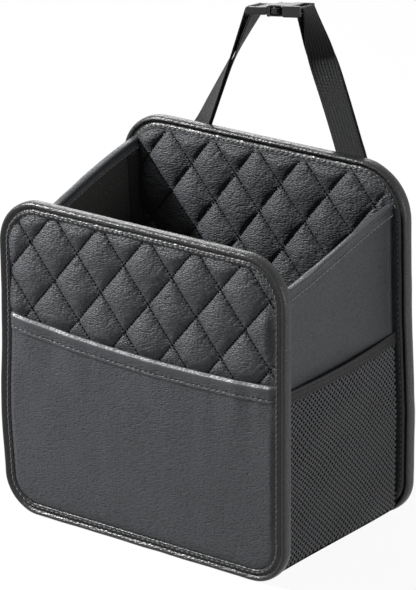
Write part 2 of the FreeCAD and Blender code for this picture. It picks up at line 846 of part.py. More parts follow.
def make_prong(label, side):
    """A springy arm of the plug, with a barb that hooks behind the lip of the socket."""
    body = new_body(label)
    root = S.buckle_mouth - S.buckle_gap
    tip = root + S.plug_arm_reach
    inner, outer = S.plug_arm_root, S.plug_arm_root + S.plug_arm_width
    barb_start = S.buckle_mouth + S.socket_lip_length + S.buckle_gap
    pad_end = barb_start + S.socket_window_length - S.buckle_gap * 2
    arm = [
        (root, inner), (tip, inner - S.plug_arm_width / 3), (tip, inner + S.plug_arm_width / 4),
        (pad_end, outer - S.buckle_gap), (barb_start + S.plug_barb, outer + S.plug_barb),
        (barb_start, outer + S.plug_barb), (barb_start, outer), (root, outer),
    ]
    sketch = new_sketch(body, "XY_Plane")
    draw_polygon(sketch, [(x, y * side) for x, y in arm])
    height = S.socket_thickness - S.socket_wall * 2 - S.buckle_gap * 2
    extrude("Pad", body, sketch, height, symmetric=True)
    body.Placement = buckle_place
    return node(label, body)


# Webbing straps, doubled through the buckle

def webbing_section(centre, across, along, thickness, width):
    side = across * (width / 2)
    out = along.cross(across) * (thickness / 2)
    return [centre - side - out, centre + side - out, centre + side + out, centre - side + out]


def faceted_loft(sections):
    """A solid through four-cornered sections, with two flat facets to each side of a span."""
    faces = [Part.Face(Part.makePolygon(end + end[:1])) for end in (sections[0], sections[-1])]
    for low, high in zip(sections, sections[1:]):
        for side in range(len(low)):
            after = (side + 1) % len(low)
            for facet in ([low[side], low[after], high[after]], [low[side], high[after], high[side]]):
                faces.append(Part.Face(Part.makePolygon(facet + facet[:1])))
    solid = Part.makeSolid(Part.makeShell(faces))
    if solid.Volume < 0:
        solid.reverse()
    return solid


def webbing_loop(centre, across, down, radius, width):
    """The turn over the bar and its two legs down to the neck, solid across to radius."""
    out = across.cross(down)
    drop = down * S.webbing_loop_drop.value
    crown = centre - down * radius
    arc = Part.Arc(centre - out * radius, crown, centre + out * radius).toShape()
    foot = Part.makePolygon([centre + out * radius, centre + out * radius + drop,
                             centre - out * radius + drop, centre - out * radius])
    face = Part.Face(Part.Wire([arc] + foot.Edges))
    face.translate(across * (-width / 2))
    return face.extrude(across * width)


def strap(label, end, crest, crest_turn, root):
    """A leg of webbing: sewn flat to the back, twisting as it rises, looped over its bar."""
    width, ply = S.webbing_width.value, S.webbing_thickness.value
    loop_inner = S.webbing_loop_radius.value
    loop_outer = loop_inner + ply
    bar_middle = buckle_place.multVec(Vector(bar.value * end, 0, 0))
    across_bar = buckle_turn.multVec(Vector(0, end, 0))
    fall = crest - bar_middle
    down = (fall - across_bar * fall.dot(across_bar)).normalize()
    neck = bar_middle + down * S.webbing_loop_drop.value
    lean = Vector(root.x - crest.x, 0, root.z - crest.z).normalize()
    tail = root + lean * S.webbing_tail.value
    bar_turn = S.buckle_yaw.value + 90 * end
    stops = [
        (tail, 0, 0), (root, 0, 0), (crest, crest_turn.value, S.webbing_slack.value),
        (neck, bar_turn, loop_inner * 2),
    ]
    samples = [(tail, 0, 0, -lean)]
    for (p0, a0, g0), (p1, a1, g1), spans in zip(stops, stops[1:], WEBBING_SPAN_COUNTS):
        along = (p1 - p0).normalize()
        for span in range(1, spans + 1):
            share = span / spans
            place = p0 + (p1 - p0) * share
            samples.append((place, a0 + (a1 - a0) * share, g0 + (g1 - g0) * share, along))
    outer, inner = [], []
    for place, turn, gap, along in samples[:-1]:
        flat = Vector(0, 1, 0).cross(along).normalize()
        angle = math.radians(turn)
        across = flat * math.cos(angle) + along.cross(flat) * math.sin(angle)
        outer.append(webbing_section(place, across, along, gap + ply * 2, width))
        if gap > 0:
            inner.append(webbing_section(place, across, along, gap, width + ply))
    outer.append(webbing_section(neck, across_bar, -down, loop_outer * 2, width))
    inner.append(webbing_section(neck, across_bar, -down, loop_inner * 2, width + ply))
    leg = faceted_loft(outer).cut(faceted_loft(inner))
    turn_over = webbing_loop(bar_middle, across_bar, down, loop_outer, width).cut(
        webbing_loop(bar_middle, across_bar, down, loop_inner, width + ply)
    )
    item = doc.addObject("Part::Feature", label)
    item.Shape = leg.fuse(turn_over)
    return node(label, item)


def make_straps():
    top, rear, ply = S.back_height.value, back_face.value, S.webbing_thickness.value
    for side, end, x, stand, turn, root_x, root_drop in (
        ("left", -1, S.left_crest_x, S.left_crest_stand, S.left_crest_turn,
         S.left_root_x, S.left_root_drop),
        ("right", 1, S.right_crest_x, S.right_crest_stand, S.right_crest_turn,
         S.right_root_x, S.right_root_drop),
    ):
        crest = Vector(x.value, rear + stand.value, top)
        root = Vector(root_x.value, rear + ply, top - root_drop.value)
        strap(f"{side}_strap", end, crest, turn, root)


def check_document():
    doc.recompute()
    for item in doc.Objects:
        if "Invalid" in item.State or "Error" in item.State:
            raise RuntimeError(f"{item.Label} failed: {item.State}")
    for label, item in nodes.items():
        shape = item.Shape
        if shape.isNull() or not shape.isValid() or not shape.Solids:
            raise RuntimeError(f"{label} has no valid solid")


def write_parts():
    os.makedirs("parts", exist_ok=True)
    for label, item in nodes.items():
        item.Shape.exportStep(f"parts/{label}.step")


make_panels()
make_sides()
make_base()
make_socket()
make_plug()
make_prong("buckle_near_prong", -1)
make_prong("buckle_far_prong", 1)
make_straps()
check_document()
write_parts()
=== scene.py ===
import math
from collections import namedtuple

import bmesh
import bpy
import numpy as np
from bpy.props import FloatProperty, FloatVectorProperty, IntProperty, PointerProperty
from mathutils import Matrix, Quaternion, Vector


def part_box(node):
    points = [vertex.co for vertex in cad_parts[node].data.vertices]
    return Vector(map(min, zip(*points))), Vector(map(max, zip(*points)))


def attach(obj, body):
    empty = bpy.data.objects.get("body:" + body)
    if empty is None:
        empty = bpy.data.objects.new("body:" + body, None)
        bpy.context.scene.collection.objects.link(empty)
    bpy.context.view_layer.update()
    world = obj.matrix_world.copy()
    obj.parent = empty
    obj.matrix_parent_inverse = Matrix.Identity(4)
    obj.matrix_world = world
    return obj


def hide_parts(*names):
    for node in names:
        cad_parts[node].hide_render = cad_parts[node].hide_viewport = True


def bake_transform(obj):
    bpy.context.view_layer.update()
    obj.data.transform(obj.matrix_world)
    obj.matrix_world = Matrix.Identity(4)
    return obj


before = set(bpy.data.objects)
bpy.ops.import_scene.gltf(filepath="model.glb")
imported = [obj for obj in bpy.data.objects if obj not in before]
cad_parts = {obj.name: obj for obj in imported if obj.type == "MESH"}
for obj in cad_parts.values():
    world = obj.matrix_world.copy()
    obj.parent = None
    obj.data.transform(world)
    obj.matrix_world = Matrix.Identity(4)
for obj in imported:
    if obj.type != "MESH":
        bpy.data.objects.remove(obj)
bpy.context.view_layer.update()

bl_info = {
    "name": "Backseat Organizer",
    "version": (1, 0, 0),
    "blender": (4, 5, 0),
    "location": "3D View > Sidebar > Organizer",
    "description": "Dresses the organizer's frame in leathercloth, felt, mesh and webbing",
    "category": "Object",
}

MM = 0.001
BODY = "organizer"
PLUG = "plug"
SIDES = (("left", -1), ("right", 1))

# Places read from the frame, in metres

FRONT_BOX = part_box("front_edge_binding")
BACK_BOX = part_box("back_edge_binding")
SIDE_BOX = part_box("right_side_panel")
TOP_TAPE_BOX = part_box("right_top_binding")

HALF = FRONT_BOX[1].x
FRONT_OUT, FRONT_IN = FRONT_BOX[0].y, FRONT_BOX[1].y
BACK_IN, BACK_OUT = BACK_BOX[0].y, BACK_BOX[1].y
FRONT_TOP, BACK_TOP = FRONT_BOX[1].z, BACK_BOX[1].z
SIDE_OUT, SIDE_TOP = SIDE_BOX[1].x, SIDE_BOX[1].z
FELT_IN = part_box("right_side_lining")[0].x
BAND_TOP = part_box("right_mesh_band")[1].z
BASE_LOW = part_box("base_panel")[0].z - 2.5 * MM
BASE_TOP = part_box("base_lining")[1].z
PANEL = FRONT_IN - FRONT_OUT
FRONT_SKIN = FRONT_OUT + 1.4 * MM
UNDER_BINDING = 1.0 * MM


def length(label, about, default):
    return FloatProperty(name=label, description=about, default=default, unit="LENGTH")


def pair(label, about, default):
    return FloatVectorProperty(name=label, description=about, default=default, size=2, unit="LENGTH")


def angle(label, about, degrees):
    return FloatProperty(
        name=label, description=about, default=math.radians(degrees), subtype="ANGLE", unit="ROTATION"
    )


def colour(label, about, value):
    return FloatVectorProperty(
        name=label, description=about, default=value, size=3, min=0, max=1, subtype="COLOR"
    )


class OrganizerSizes(bpy.types.PropertyGroup):
    """Sizes of the sewn pieces."""

    low_corner: length("Low corner", "Radius of the panels' lower corners", 0.028)
    front_corner: length("Front corner", "Radius of the front panel's upper corners", 0.033)
    back_corner: length("Back corner", "Radius of the back panel's upper corners", 0.037)
    binding_width: length("Binding width", "How far the binding reaches over a panel", 0.0082)
    stitch_pitch: length("Stitch pitch", "Distance from one stitch to the next", 0.0042)
    loft: length("Quilt loft", "Height of a quilted diamond above its seams", 0.0038)
    front_diamond: pair("Front diamond", "Width and height of a diamond on the front", (0.040, 0.048))
    front_crossing: pair("Front crossing", "A crossing of seams on the front, across and up", (0.007, 0.179))
    back_diamond: pair("Back diamond", "Width and height of a diamond on the back", (0.0382, 0.0466))
    back_crossing: pair("Back crossing", "A crossing of seams on the back, across and up", (-0.001, 0.203))
    pocket_left: length("Pocket, left", "Height of the slip pocket's edge at the left", 0.148)
    pocket_right: length("Pocket, right", "Height of the slip pocket's edge at the right", 0.1435)
    pocket_sag: length("Pocket sag", "How far the slip pocket's edge sags between its ends", 0.0052)
    pocket_hem: length("Pocket hem", "Depth of the slip pocket's hem, to its stitching", 0.009)
    lean: FloatProperty(
        name="Lean", description="How far the back leans over to the left, as a slope", default=0.05
    )
    bow: length("Bow", "How far the left gusset bows out", 0.0040)
    front_bow: length("Front bow", "How far the front's left edge bows out", 0.0030)
    net_pitch: length("Net pitch", "Distance between strands of the net", 0.0030)
    net_slack: length("Net slack", "How far the mouth of a net pocket bows out", 0.0028)
    webbing_width: length("Webbing width", "Width of the strap", 0.025)
    webbing_thickness: length("Webbing thickness", "Thickness of one ply of the strap", 0.0013)
    webbing_ribs: IntProperty(
        name="Webbing ribs", description="Lengthwise ribs on the strap", default=9, min=3
    )


class OrganizerFinish(bpy.types.PropertyGroup):
    """Colours of the materials."""

    leathercloth: colour("Leathercloth", "Plain panels, pocket and gussets", (0.050, 0.052, 0.057))
    quilt: colour("Quilt", "Quilted panels", (0.044, 0.046, 0.050))
    binding: colour("Binding", "Binding round the panels", (0.0088, 0.0091, 0.0098))
    felt: colour("Felt", "Linings", (0.052, 0.049, 0.047))
    tape: colour("Tape", "Tape in the inner corners", (0.014, 0.014, 0.015))
    # The strands are lighter than the black net itself: painted highlight on their tops
    net: colour("Net", "Strands of the net pockets", (0.150, 0.153, 0.159))
    # The net ground is near black: painted shade in the holes of the net, behind the strands
    ground: colour("Net shade backing", "Knitted ground behind the strands", (0.002, 0.002, 0.0022))
    elastic: colour("Elastic", "Bands along the net pockets", (0.020, 0.0205, 0.022))
    webbing: colour("Webbing", "Straps", (0.012, 0.0124, 0.0134))
    plastic: colour("Plastic", "Buckle", (0.009, 0.009, 0.010))
    thread: colour("Thread", "Stitching on hems and straps", (0.200, 0.203, 0.208))
    binding_thread: colour("Binding thread", "Stitching of the bindings", (0.075, 0.076, 0.079))
    # Real stitching, painted near black to carry the shade of the quilt's seam valleys
    seam_shade_thread: colour("Seam shade thread", "Stitching of the quilts", (0.0025, 0.0025, 0.0025))


class OrganizerStage(bpy.types.PropertyGroup):
    """Camera and floor."""

    azimuth: angle("Azimuth", "Direction that the camera looks from", 36.5)
    elevation: angle("Elevation", "Height of the camera above the horizon", 20.45)
    roll: angle("Roll", "Tilt of the camera about its own axis", -0.38)
    distance: length("Distance", "From the camera to its target", 2.403)
    target: FloatVectorProperty(
        name="Target", description="Point that the camera looks at",
        default=(0.0017, -0.0147, 0.1622), size=3, subtype="TRANSLATION", unit="LENGTH",
    )
    lens: FloatProperty(name="Lens", description="Focal length in millimetres", default=213.56, min=1)
    floor: colour("Floor", "Floor and backdrop", (0.85, 0.85, 0.85))


def sizes():
    return bpy.context.scene.organizer_sizes


# Curves and lines

def ease(value, low, high):
    """0 below low, 1 above high, smooth between."""
    t = np.clip((value - low) / (high - low), 0, 1)
    return t * t * (3 - 2 * t)


def bell(value, middle, spread):
    """1 at the middle, falling off to both sides."""
    return np.exp(-((value - middle) / spread) ** 2)


def soft_noise(u, v, seed):
    """Smooth random heights over a plane, one lump to a unit, from -1 to 1."""
    cells = 64
    table = np.random.default_rng(seed).uniform(-1, 1, (cells, cells))
    iu, iv = np.floor(u).astype(int), np.floor(v).astype(int)
    fu, fv = ease(u - iu, 0, 1), ease(v - iv, 0, 1)

    def row(step):
        at = (iv + step) % cells
        return table[iu % cells, at] * (1 - fu) + table[(iu + 1) % cells, at] * fu

    return row(0) * (1 - fv) + row(1) * fv


def unit(v):
    """Vectors cut to a length of one."""
    return v / np.linalg.norm(v, axis=-1, keepdims=True)


def run_length(points):
    """How far along a line each of its points lies."""
    return np.concatenate([[0], np.cumsum(np.linalg.norm(np.diff(points, axis=0), axis=1))])


def at_run(points, run, at):
    """Places at given distances along a line of points."""
    return np.stack([np.interp(at, run, column) for column in points.T], 1)


def spread(points, pitch):
    """Places at an even pitch along a line of points, with the way it runs at each."""
    run = run_length(points)
    count = max(1, int(run[-1] / pitch))
    at = (np.arange(count) + 0.5) * run[-1] / count
    near = pitch * 0.2
    return at_run(points, run, at), unit(at_run(points, run, at + near) - at_run(points, run, at - near))


def smoothed(points, reach=5):
    """A line of points, each moved to the middle of its neighbours."""
    weights = np.hanning(2 * reach + 3)[1:-1]
    weights /= weights.sum()
    wide = np.pad(points, ((reach, reach), (0, 0)), "edge")
    return np.stack([np.convolve(column, weights, "valid") for column in wide.T], 1)


def folded(half, axis, width):
    """A profile and its mirror image across a width, as one line with its corners cut."""
    mirrored = half[-2::-1].copy()
    mirrored[:, axis] = width - mirrored[:, axis]
    line = np.concatenate([half, mirrored])
    before, after = line[:-1], line[1:]
    cut = np.stack([before * 0.75 + after * 0.25, before * 0.25 + after * 0.75], 1).reshape(-1, 2)
    return np.concatenate([line[:1], cut, line[-1:]])


def back_share(y):
    """How far back a place lies, from 0 at the front panel to 1 at the back panel."""
    return np.clip((y - FRONT_IN) / (BACK_IN - FRONT_IN), 0, 1)


# Meshes

LEAN_PIVOT, LEAN_LOW, LEAN_HIGH = 0.15, -0.07, 0.10
LEAN_EASED, LEAN_EASED_TO = 0.5, 0.10
BOW_HEIGHTS, BOW_PLACES = (0.05, 0.21), (0.099, 0.104)
BELLY_HEIGHT, BELLY_SPREAD = 0.078, 0.042
BELLY_PLACES, BELLY_DEPTHS = (0.04, 0.115), (0, 0.4)


def settle(points):
    """Where the soft box has settled: its back leans over, its left gusset and front edge bow out."""
    s = sizes()
    x, y, z = points.T
    share = back_share(y)
    above, below = np.clip(z - LEAN_PIVOT, 0, LEAN_HIGH), np.clip(z - LEAN_PIVOT, LEAN_LOW, 0)
    over = above * (1 - LEAN_EASED * ease(x, 0, LEAN_EASED_TO)) + below
    lean = -s.lean * over * ease(share, 0, 1)
    bow = -s.bow * np.sin(share * np.pi) * ease(z, *BOW_HEIGHTS) * ease(-x, *BOW_PLACES)
    belly = -s.front_bow * bell(z, BELLY_HEIGHT, BELLY_SPREAD) * ease(-x, *BELLY_PLACES)
    belly = belly * (1 - ease(share, *BELLY_DEPTHS))
    return np.stack([x + lean + bow + belly, y, np.maximum(z, 0)], 1)


def quads(rows, cols, offset=0, wrap=False):
    """Faces of a grid of points, row by row; wrap joins the last column to the first."""
    row, col = np.meshgrid(np.arange(rows - 1), np.arange(cols if wrap else cols - 1), indexing="ij")
    after = (col + 1) % cols
    corners = (row * cols + col, row * cols + after, (row + 1) * cols + after, (row + 1) * cols + col)
    return (np.stack(corners, -1).reshape(-1, 4) + offset).tolist()


def edge_ring(rows, cols):
    """Numbers of the points round the edge of a grid, in order."""
    grid = np.arange(rows * cols).reshape(rows, cols)
    return np.concatenate([grid[0, :-1], grid[:-1, -1], grid[-1, :0:-1], grid[:0:-1, 0]])


def new_piece(name, points, faces, cloth, slot=None, body=BODY, uv=None, stands_for=(), settled=True):
    """A smooth mesh that rides on a body and takes the place of CAD nodes."""
    mesh = bpy.data.meshes.new(name)
    points = np.asarray(points, float).reshape(-1, 3)
    mesh.from_pydata((settle(points) if settled else points).tolist(), [], faces)
    work = bmesh.new()
    work.from_mesh(mesh)
    bmesh.ops.recalc_face_normals(work, faces=work.faces)
    work.to_mesh(mesh)
    work.free()
    mesh.polygons.foreach_set("use_smooth", np.ones(len(mesh.polygons), bool))
    if uv is not None:
        layer = mesh.uv_layers.new(name="Cloth")
        loops = np.zeros(len(mesh.loops), int)
        mesh.loops.foreach_get("vertex_index", loops)
        layer.data.foreach_set("uv", np.asarray(uv, float).reshape(-1, 2)[loops].ravel())
    mesh.materials.append(material(cloth))
    piece = bpy.data.objects.new(name, mesh)
    bpy.context.scene.collection.objects.link(piece)
    if body:
        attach(piece, body)
    if stands_for:
        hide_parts(*stands_for)
    return piece


def thick_sheet(name, face, behind, cloth, fine=False, uv=None, **riding):
    """A closed sheet from a grid of points and how far its other side lies behind each.

    A fine sheet has one flat face behind it in place of a second grid.
    """
    rows, cols = face.shape[:2]
    count = rows * cols
    ring = edge_ring(rows, cols)
    front, back = face.reshape(-1, 3), (face + behind).reshape(-1, 3)
    faces = quads(rows, cols)
    if fine:
        points = np.concatenate([front, back[ring]])
        under = count + np.arange(len(ring))
        faces.append(under.tolist())
    else:
        points = np.concatenate([front, back])
        under = count + ring
        faces += quads(rows, cols, count)
    faces += np.stack([ring, np.roll(ring, -1), np.roll(under, -1), under], -1).tolist()
    if uv is not None:
        uv = np.concatenate([uv, uv]).reshape(-1, 2)
    return new_piece(name, points, faces, cloth, uv=uv, **riding)


def side_sheet(name, node, place, x, y, z, behind, cloth, uv=None):
    """A sheet on one side of the box, from places on its right side, and the sheet's face."""
    face = np.stack([x * place, y, z], -1)
    return thick_sheet(name, face, (behind * place, 0, 0), cloth, uv=uv, stands_for=(node,)), face


def declare_cloth(piece, face, *rests_on, flat=None, held="stretched", with_pieces=()):
    """Work out the flat size of a piece's cloth, as given or from the longest row and column of its face;
    nothing is done with it.
    """
    across = np.linalg.norm(np.diff(face, axis=1), axis=-1)
    up = np.linalg.norm(np.diff(face, axis=0), axis=-1)
    flat = flat or (float(across.sum(1).max()), float(up.sum(0).max()))


# Thread

STITCH_RINGS, STITCH_CORNERS = 5, 5
STITCH_SHIFT, STITCH_SKEW = 0.08 * MM, 0.3 * MM


def stitch_points(line, out, pitch, radius, share=0.72, seed=1):
    """Threads along a line: each rises out of the cloth and sinks into it again."""
    places, way = spread(line, pitch)
    side = unit(np.cross(np.broadcast_to(np.array(out, float), places.shape), way))
    up = np.cross(way, side)
    shift, skew, _ = np.random.default_rng(seed).normal(0, 1, (len(places), 3)).T
    t = np.linspace(-0.5, 0.5, STITCH_RINGS)
    turn = np.arange(STITCH_CORNERS) * 2 * np.pi / STITCH_CORNERS
    thick = radius * (0.45 + 0.55 * np.cos(t * np.pi))[:, None]
    arch = radius * 1.5 * (np.cos(t * np.pi) - 0.55)[:, None]
    rise = arch + thick * np.sin(turn)
    askew = shift[:, None] * STITCH_SHIFT + skew[:, None] * t * STITCH_SKEW
    aside = thick * np.cos(turn) * 1.25 + askew[:, :, None]
    places, way, up, side = (v[:, None, None, :] for v in (places, way, up, side))
    points = places + way * (t * pitch * share)[:, None, None]
    points = points + up * rise[..., None] + side * aside[..., None]

    each = STITCH_RINGS * STITCH_CORNERS
    one = quads(STITCH_RINGS, STITCH_CORNERS, wrap=True)
    one += [list(range(STITCH_CORNERS)), list(range(each - STITCH_CORNERS, each))]
    faces = [[corner + number * each for corner in face] for number in range(len(points)) for face in one]
    return points.reshape(-1, 3), faces


def stitches(name, lines, cloth, slot=None, settled=True, **shape):
    """One piece of thread work from several lines, each with the way out of its cloth."""
    points, faces, count = [], [], 0
    for number, (line, out) in enumerate(lines):
        new, own = stitch_points(line, out, seed=number + 1, **shape)
        points.append(new)
        faces += [[corner + count for corner in face] for face in own]
        count += len(new)
    return new_piece(name, np.concatenate(points), faces, cloth, slot, settled=settled)


# Outlines of the two panels: half width, low, high, low radius, top radius

def panel_outline(top, corner, inset=0.0):
    low = sizes().low_corner
    return HALF - inset, inset, top - inset, low - inset, corner - inset


def field_grid(outline, step, plain_to=None):
    """Points over a round-cornered upright field, row by row, across and up.

    The rows lie wider apart below plain_to, where something covers the field.
    """
    half, low, high, r, t = outline
    foot, head, wide = low + r, high - t, 4 * step if plain_to else step
    below = np.linspace(-np.pi / 2, 0, max(6, round(r * 1.6 / wide)))
    above = np.linspace(0, np.pi / 2, max(6, round(t * 1.6 / step)))
    plain = plain_to or foot
    middle = np.concatenate([
        np.linspace(foot, plain, max(1, round((plain - foot) / wide)), endpoint=False),
        np.linspace(plain, head, max(3, round((head - plain) / step)), endpoint=False),
    ])
    middle = middle[middle > foot + 0.1 * MM]
    up = np.concatenate([foot + r * np.sin(below), middle, head + t * np.sin(above)])
    reach = np.concatenate([
        half - r + r * np.cos(below), np.full(len(middle), half), half - t + t * np.cos(above),
    ])
    share = np.linspace(-1, 1, round(2 * half / step) + 1)
    return reach[:, None] * share, np.repeat(up[:, None], len(share), 1)


def from_edge(x, z, outline):
    """How far inside a round-cornered field each point lies."""
    half, low, high, r, t = outline
    radius = np.where(z > (low + high) / 2, t, r)
    dx, dz = half - np.abs(x), np.minimum(z - low, high - z)
    corner = radius - np.hypot(radius - dx, radius - dz)
    return np.where((dx < radius) & (dz < radius), corner, np.minimum(dx, dz))


def outline_path(outline, step):
    """Points round an outline, and the way in from each, as pairs across and up."""
    half, low, high, r, t = outline
    arcs, ways = [], []
    for x, z, radius, start in (
        (half - r, low + r, r, -90), (half - t, high - t, t, 0),
        (t - half, high - t, t, 90), (r - half, low + r, r, 180),
    ):
        turn = np.radians(np.linspace(start, start + 90, max(8, round(radius * 1.6 / step))))
        ways.append(-np.stack([np.cos(turn), np.sin(turn)], 1))
        arcs.append((x, z) - radius * ways[-1])
    points, inward = [], []
    for arc, way, after in zip(arcs, ways, arcs[1:] + arcs[:1]):
        count = max(2, round(np.linalg.norm(after[0] - arc[-1]) / step))
        share = (np.arange(1, count) / count)[:, None]
        points += [arc, arc[-1] * (1 - share) + after[0] * share]
        inward += [way, np.repeat(way[-1:], count - 1, 0)]
    return np.concatenate(points), np.concatenate(inward)


def pocket_edge(x):
    """Height of the slip pocket's edge."""
    s = sizes()
    half = HALF - s.binding_width
    lean = s.pocket_left + (s.pocket_right - s.pocket_left) * (x + half) / (2 * half)
    return lean - s.pocket_sag * (1 - (x / half) ** 2)


SIDE_CLIMB = 26 * MM
LEFT_RISE = 8 * MM


def side_slope(y, place=1):
    """Height of a gusset's top edge, a nearly straight climb; the left one rises more at the back."""
    share = back_share(y)
    climb = 0.7 * share + 0.3 * ease(share, 0, 1)
    return SIDE_TOP - SIDE_CLIMB * (1 - climb) + (LEFT_RISE * share ** 1.6 if place < 0 else 0)


# Nodes

def feed(tree, socket, value):
    """Give a socket a plain value or another node's output."""
    if isinstance(value, bpy.types.NodeSocket):
        tree.links.new(value, socket)
    else:
        socket.default_value = value


def add_node(tree, kind, inputs=(), **settings):
    """A node with its settings, and its inputs given as values or as other nodes' outputs."""
    made = tree.nodes.new(kind)
    for key, value in settings.items():
        setattr(made, key, value)
    for key, value in dict(inputs).items():
        feed(tree, made.inputs[key], value)
    return made


def maths(tree, operation, *values):
    return add_node(tree, "ShaderNodeMath", enumerate(values), operation=operation).outputs[0]


def weighed(tree, first, first_weight, second, second_weight):
    """A sum of two values, each times its weight."""
    return maths(tree, "MULTIPLY_ADD", first, first_weight, maths(tree, "MULTIPLY", second, second_weight))


def blend_colours(tree, share, first, second):
    return add_node(tree, "ShaderNodeMix", {0: share, 6: first, 7: second}, data_type="RGBA").outputs[2]


def tones(tree, share, base, dark, light):
    """A colour that runs from a dark to a light tone of its base."""
    ends = [(*(c * factor for c in base), 1.0) for factor in (dark, light)]
    return blend_colours(tree, share, *ends)


def from_range(tree, value, low, high, to_low=0.0, to_high=1.0):
    ranges = {"From Min": low, "From Max": high, "To Min": to_low, "To Max": to_high}
    return add_node(tree, "ShaderNodeMapRange", {"Value": value, **ranges}).outputs[0]


def own_place(tree):
    return add_node(tree, "ShaderNodeTexCoord").outputs["Object"]


def noise(tree, place, scale, detail, **more):
    inputs = {"Vector": place, "Scale": scale, "Detail": detail, **more}
    return add_node(tree, "ShaderNodeTexNoise", inputs).outputs


def new_group(name, **inputs):
    """A node group, with what its inputs give."""
    tree = bpy.data.node_groups.new(name, "ShaderNodeTree")
    for label, value in inputs.items():
        socket = tree.interface.new_socket(label, in_out="INPUT", socket_type="NodeSocketFloat")
        socket.default_value = value
    return tree, tree.nodes.new("NodeGroupInput").outputs


def put_out(tree, **outputs):
    """End a node group with the values that it puts out."""
    for label in outputs:
        tree.interface.new_socket(label, in_out="OUTPUT", socket_type="NodeSocketFloat")
    end = tree.nodes.new("NodeGroupOutput")
    for label, value in outputs.items():
        tree.links.new(value, end.inputs[label])
    return tree


def place_group(tree, group, **values):
    made = tree.nodes.new("ShaderNodeGroup")
    made.node_tree = group
    for key, value in values.items():
        made.inputs[key].default_value = value
    return made.outputs


def pebble_group():
    """Grain of leathercloth: small domes, drawn out sideways, with creases between them."""
    tree, given = new_group("Pebble grain", Pebbles=480.0, Creases=330.0)
    place = own_place(tree)
    drawn = add_node(tree, "ShaderNodeMapping", {"Vector": place, "Scale": (0.44, 0.8, 1.2)}).outputs[0]
    warp = noise(tree, drawn, given["Creases"], 1.0)
    bend = {0: warp["Color"], 1: (0.3 * MM, 0.3 * MM, 0.3 * MM)}
    bent = add_node(tree, "ShaderNodeVectorMath", bend, operation="MULTIPLY").outputs[0]
    moved = add_node(tree, "ShaderNodeVectorMath", {0: drawn, 1: bent}, operation="ADD").outputs[0]
    spots = {"Vector": moved, "Scale": given["Pebbles"], "Randomness": 0.85}
    cells = add_node(tree, "ShaderNodeTexVoronoi", spots, feature="F1").outputs["Distance"]
    dome = maths(tree, "SUBTRACT", 1.0, maths(tree, "MULTIPLY", cells, cells))
    height = weighed(tree, dome, 0.85, from_range(tree, warp[0], 0.3, 0.7), 0.15)
    cloud = noise(tree, place, 26.0, 3.0)[0]
    worn = from_range(tree, height, 0.5, 0.9)
    # Tone: a random cloud, with the domes painted lighter and the creases darker, as painted light and shade
    # of the grain
    return put_out(tree, Height=height, Worn=worn, Tone=weighed(tree, cloud, 0.3, height, 0.7))


def weave_group():
    """Weave of webbing and tape over its own length and width."""
    tree, given = new_group("Weave", Picks=900.0, Ends=1400.0)
    place = add_node(tree, "ShaderNodeUVMap", uv_map="Cloth").outputs[0]
    parts = add_node(tree, "ShaderNodeSeparateXYZ", {"Vector": place}).outputs
    along = maths(tree, "MULTIPLY", parts[1], given["Picks"])
    across = maths(tree, "MULTIPLY", parts[0], given["Ends"])
    # Each end lies half a pick further on than the one beside it
    shifted = maths(tree, "ADD", along, maths(tree, "MULTIPLY", maths(tree, "FLOOR", across), 0.5))
    pick, end = (maths(tree, "SINE", maths(tree, "MULTIPLY", turns, math.tau)) for turns in (shifted, across))
    fuzz = noise(tree, own_place(tree), 1500.0, 2.0)[0]
    woven_height = maths(tree, "ADD", weighed(tree, pick, 0.3, end, 0.2), 0.5)
    height = maths(tree, "ADD", woven_height, maths(tree, "MULTIPLY", fuzz, 0.35))
    # The tone follows the height: the low places between threads are painted dark, as painted shade
    return put_out(tree, Height=height, Tone=from_range(tree, height, 0.2, 1.2))


def felt_group():
    """Needled felt: matted fibres with pale flecks."""
    tree, given = new_group("Felt", Fibres=900.0, Flecks=640.0)
    place = own_place(tree)
    fibre = noise(tree, place, given["Fibres"], 4.0, Roughness=0.7, Distortion=1.6)[0]
    fleck = from_range(tree, noise(tree, place, given["Flecks"], 1.0)[0], 0.60, 0.68)
    cloud = noise(tree, place, 45.0, 2.0)[0]
    return put_out(tree, Height=fibre, Fleck=fleck, Tone=weighed(tree, fibre, 0.6, cloud, 0.5))


# Materials

# The materials, each under its own key
MATERIALS = {}


def new_material(name, **plain):
    """A material with its shader, whose plain values are set on the shader's own sockets."""
    made = bpy.data.materials.new(name)
    made.use_nodes = True
    shader = made.node_tree.nodes["Principled BSDF"]
    for key, value in plain.items():
        shader.inputs[key.replace("_", " ")].default_value = value
    return made, made.node_tree, shader


def lead_in(tree, shader, tone, rough, height, depth):
    """Lead a surface's colour, roughness and bumps into its shader."""
    bumps = add_node(tree, "ShaderNodeBump", {"Height": height, "Distance": depth, "Strength": 1.0})
    feed(tree, shader.inputs["Base Color"], tone)
    feed(tree, shader.inputs["Roughness"], rough)
    feed(tree, shader.inputs["Normal"], bumps.outputs[0])


def leathercloth(name, base, group, pebbles, depth, rough, shine, coat):
    """Leathercloth with a pebble grain, smoother where it is worn."""
    made, tree, shader = new_material(name, Specular_IOR_Level=shine, Coat_Weight=coat, Coat_Roughness=0.32)
    grain = place_group(tree, group, Pebbles=pebbles, Creases=420.0)
    # Creases painted dark and domes painted light from the grain's height: painted shade and highlight over a
    # random tone
    tone = tones(tree, grain["Tone"], base, 0.35, 1.45)
    rough = from_range(tree, grain["Worn"], 0.0, 1.0, rough + 0.12, rough - 0.06)
    lead_in(tree, shader, tone, rough, grain["Height"], depth)
    return made


def woven(name, base, group, picks, ends, depth, rough, sheen, dark, light, shine):
    """Woven or knitted yarn, painted darker between its threads: painted shade."""
    made, tree, shader = new_material(name, Specular_IOR_Level=shine, Sheen_Weight=sheen, Sheen_Roughness=0.4)
    weave = place_group(tree, group, Picks=picks, Ends=ends)
    tone = tones(tree, weave["Tone"], base, dark, light)
    rough = from_range(tree, weave["Tone"], 0.0, 1.0, rough + 0.1, rough - 0.1)
    lead_in(tree, shader, tone, rough, weave["Height"], depth)
    return made


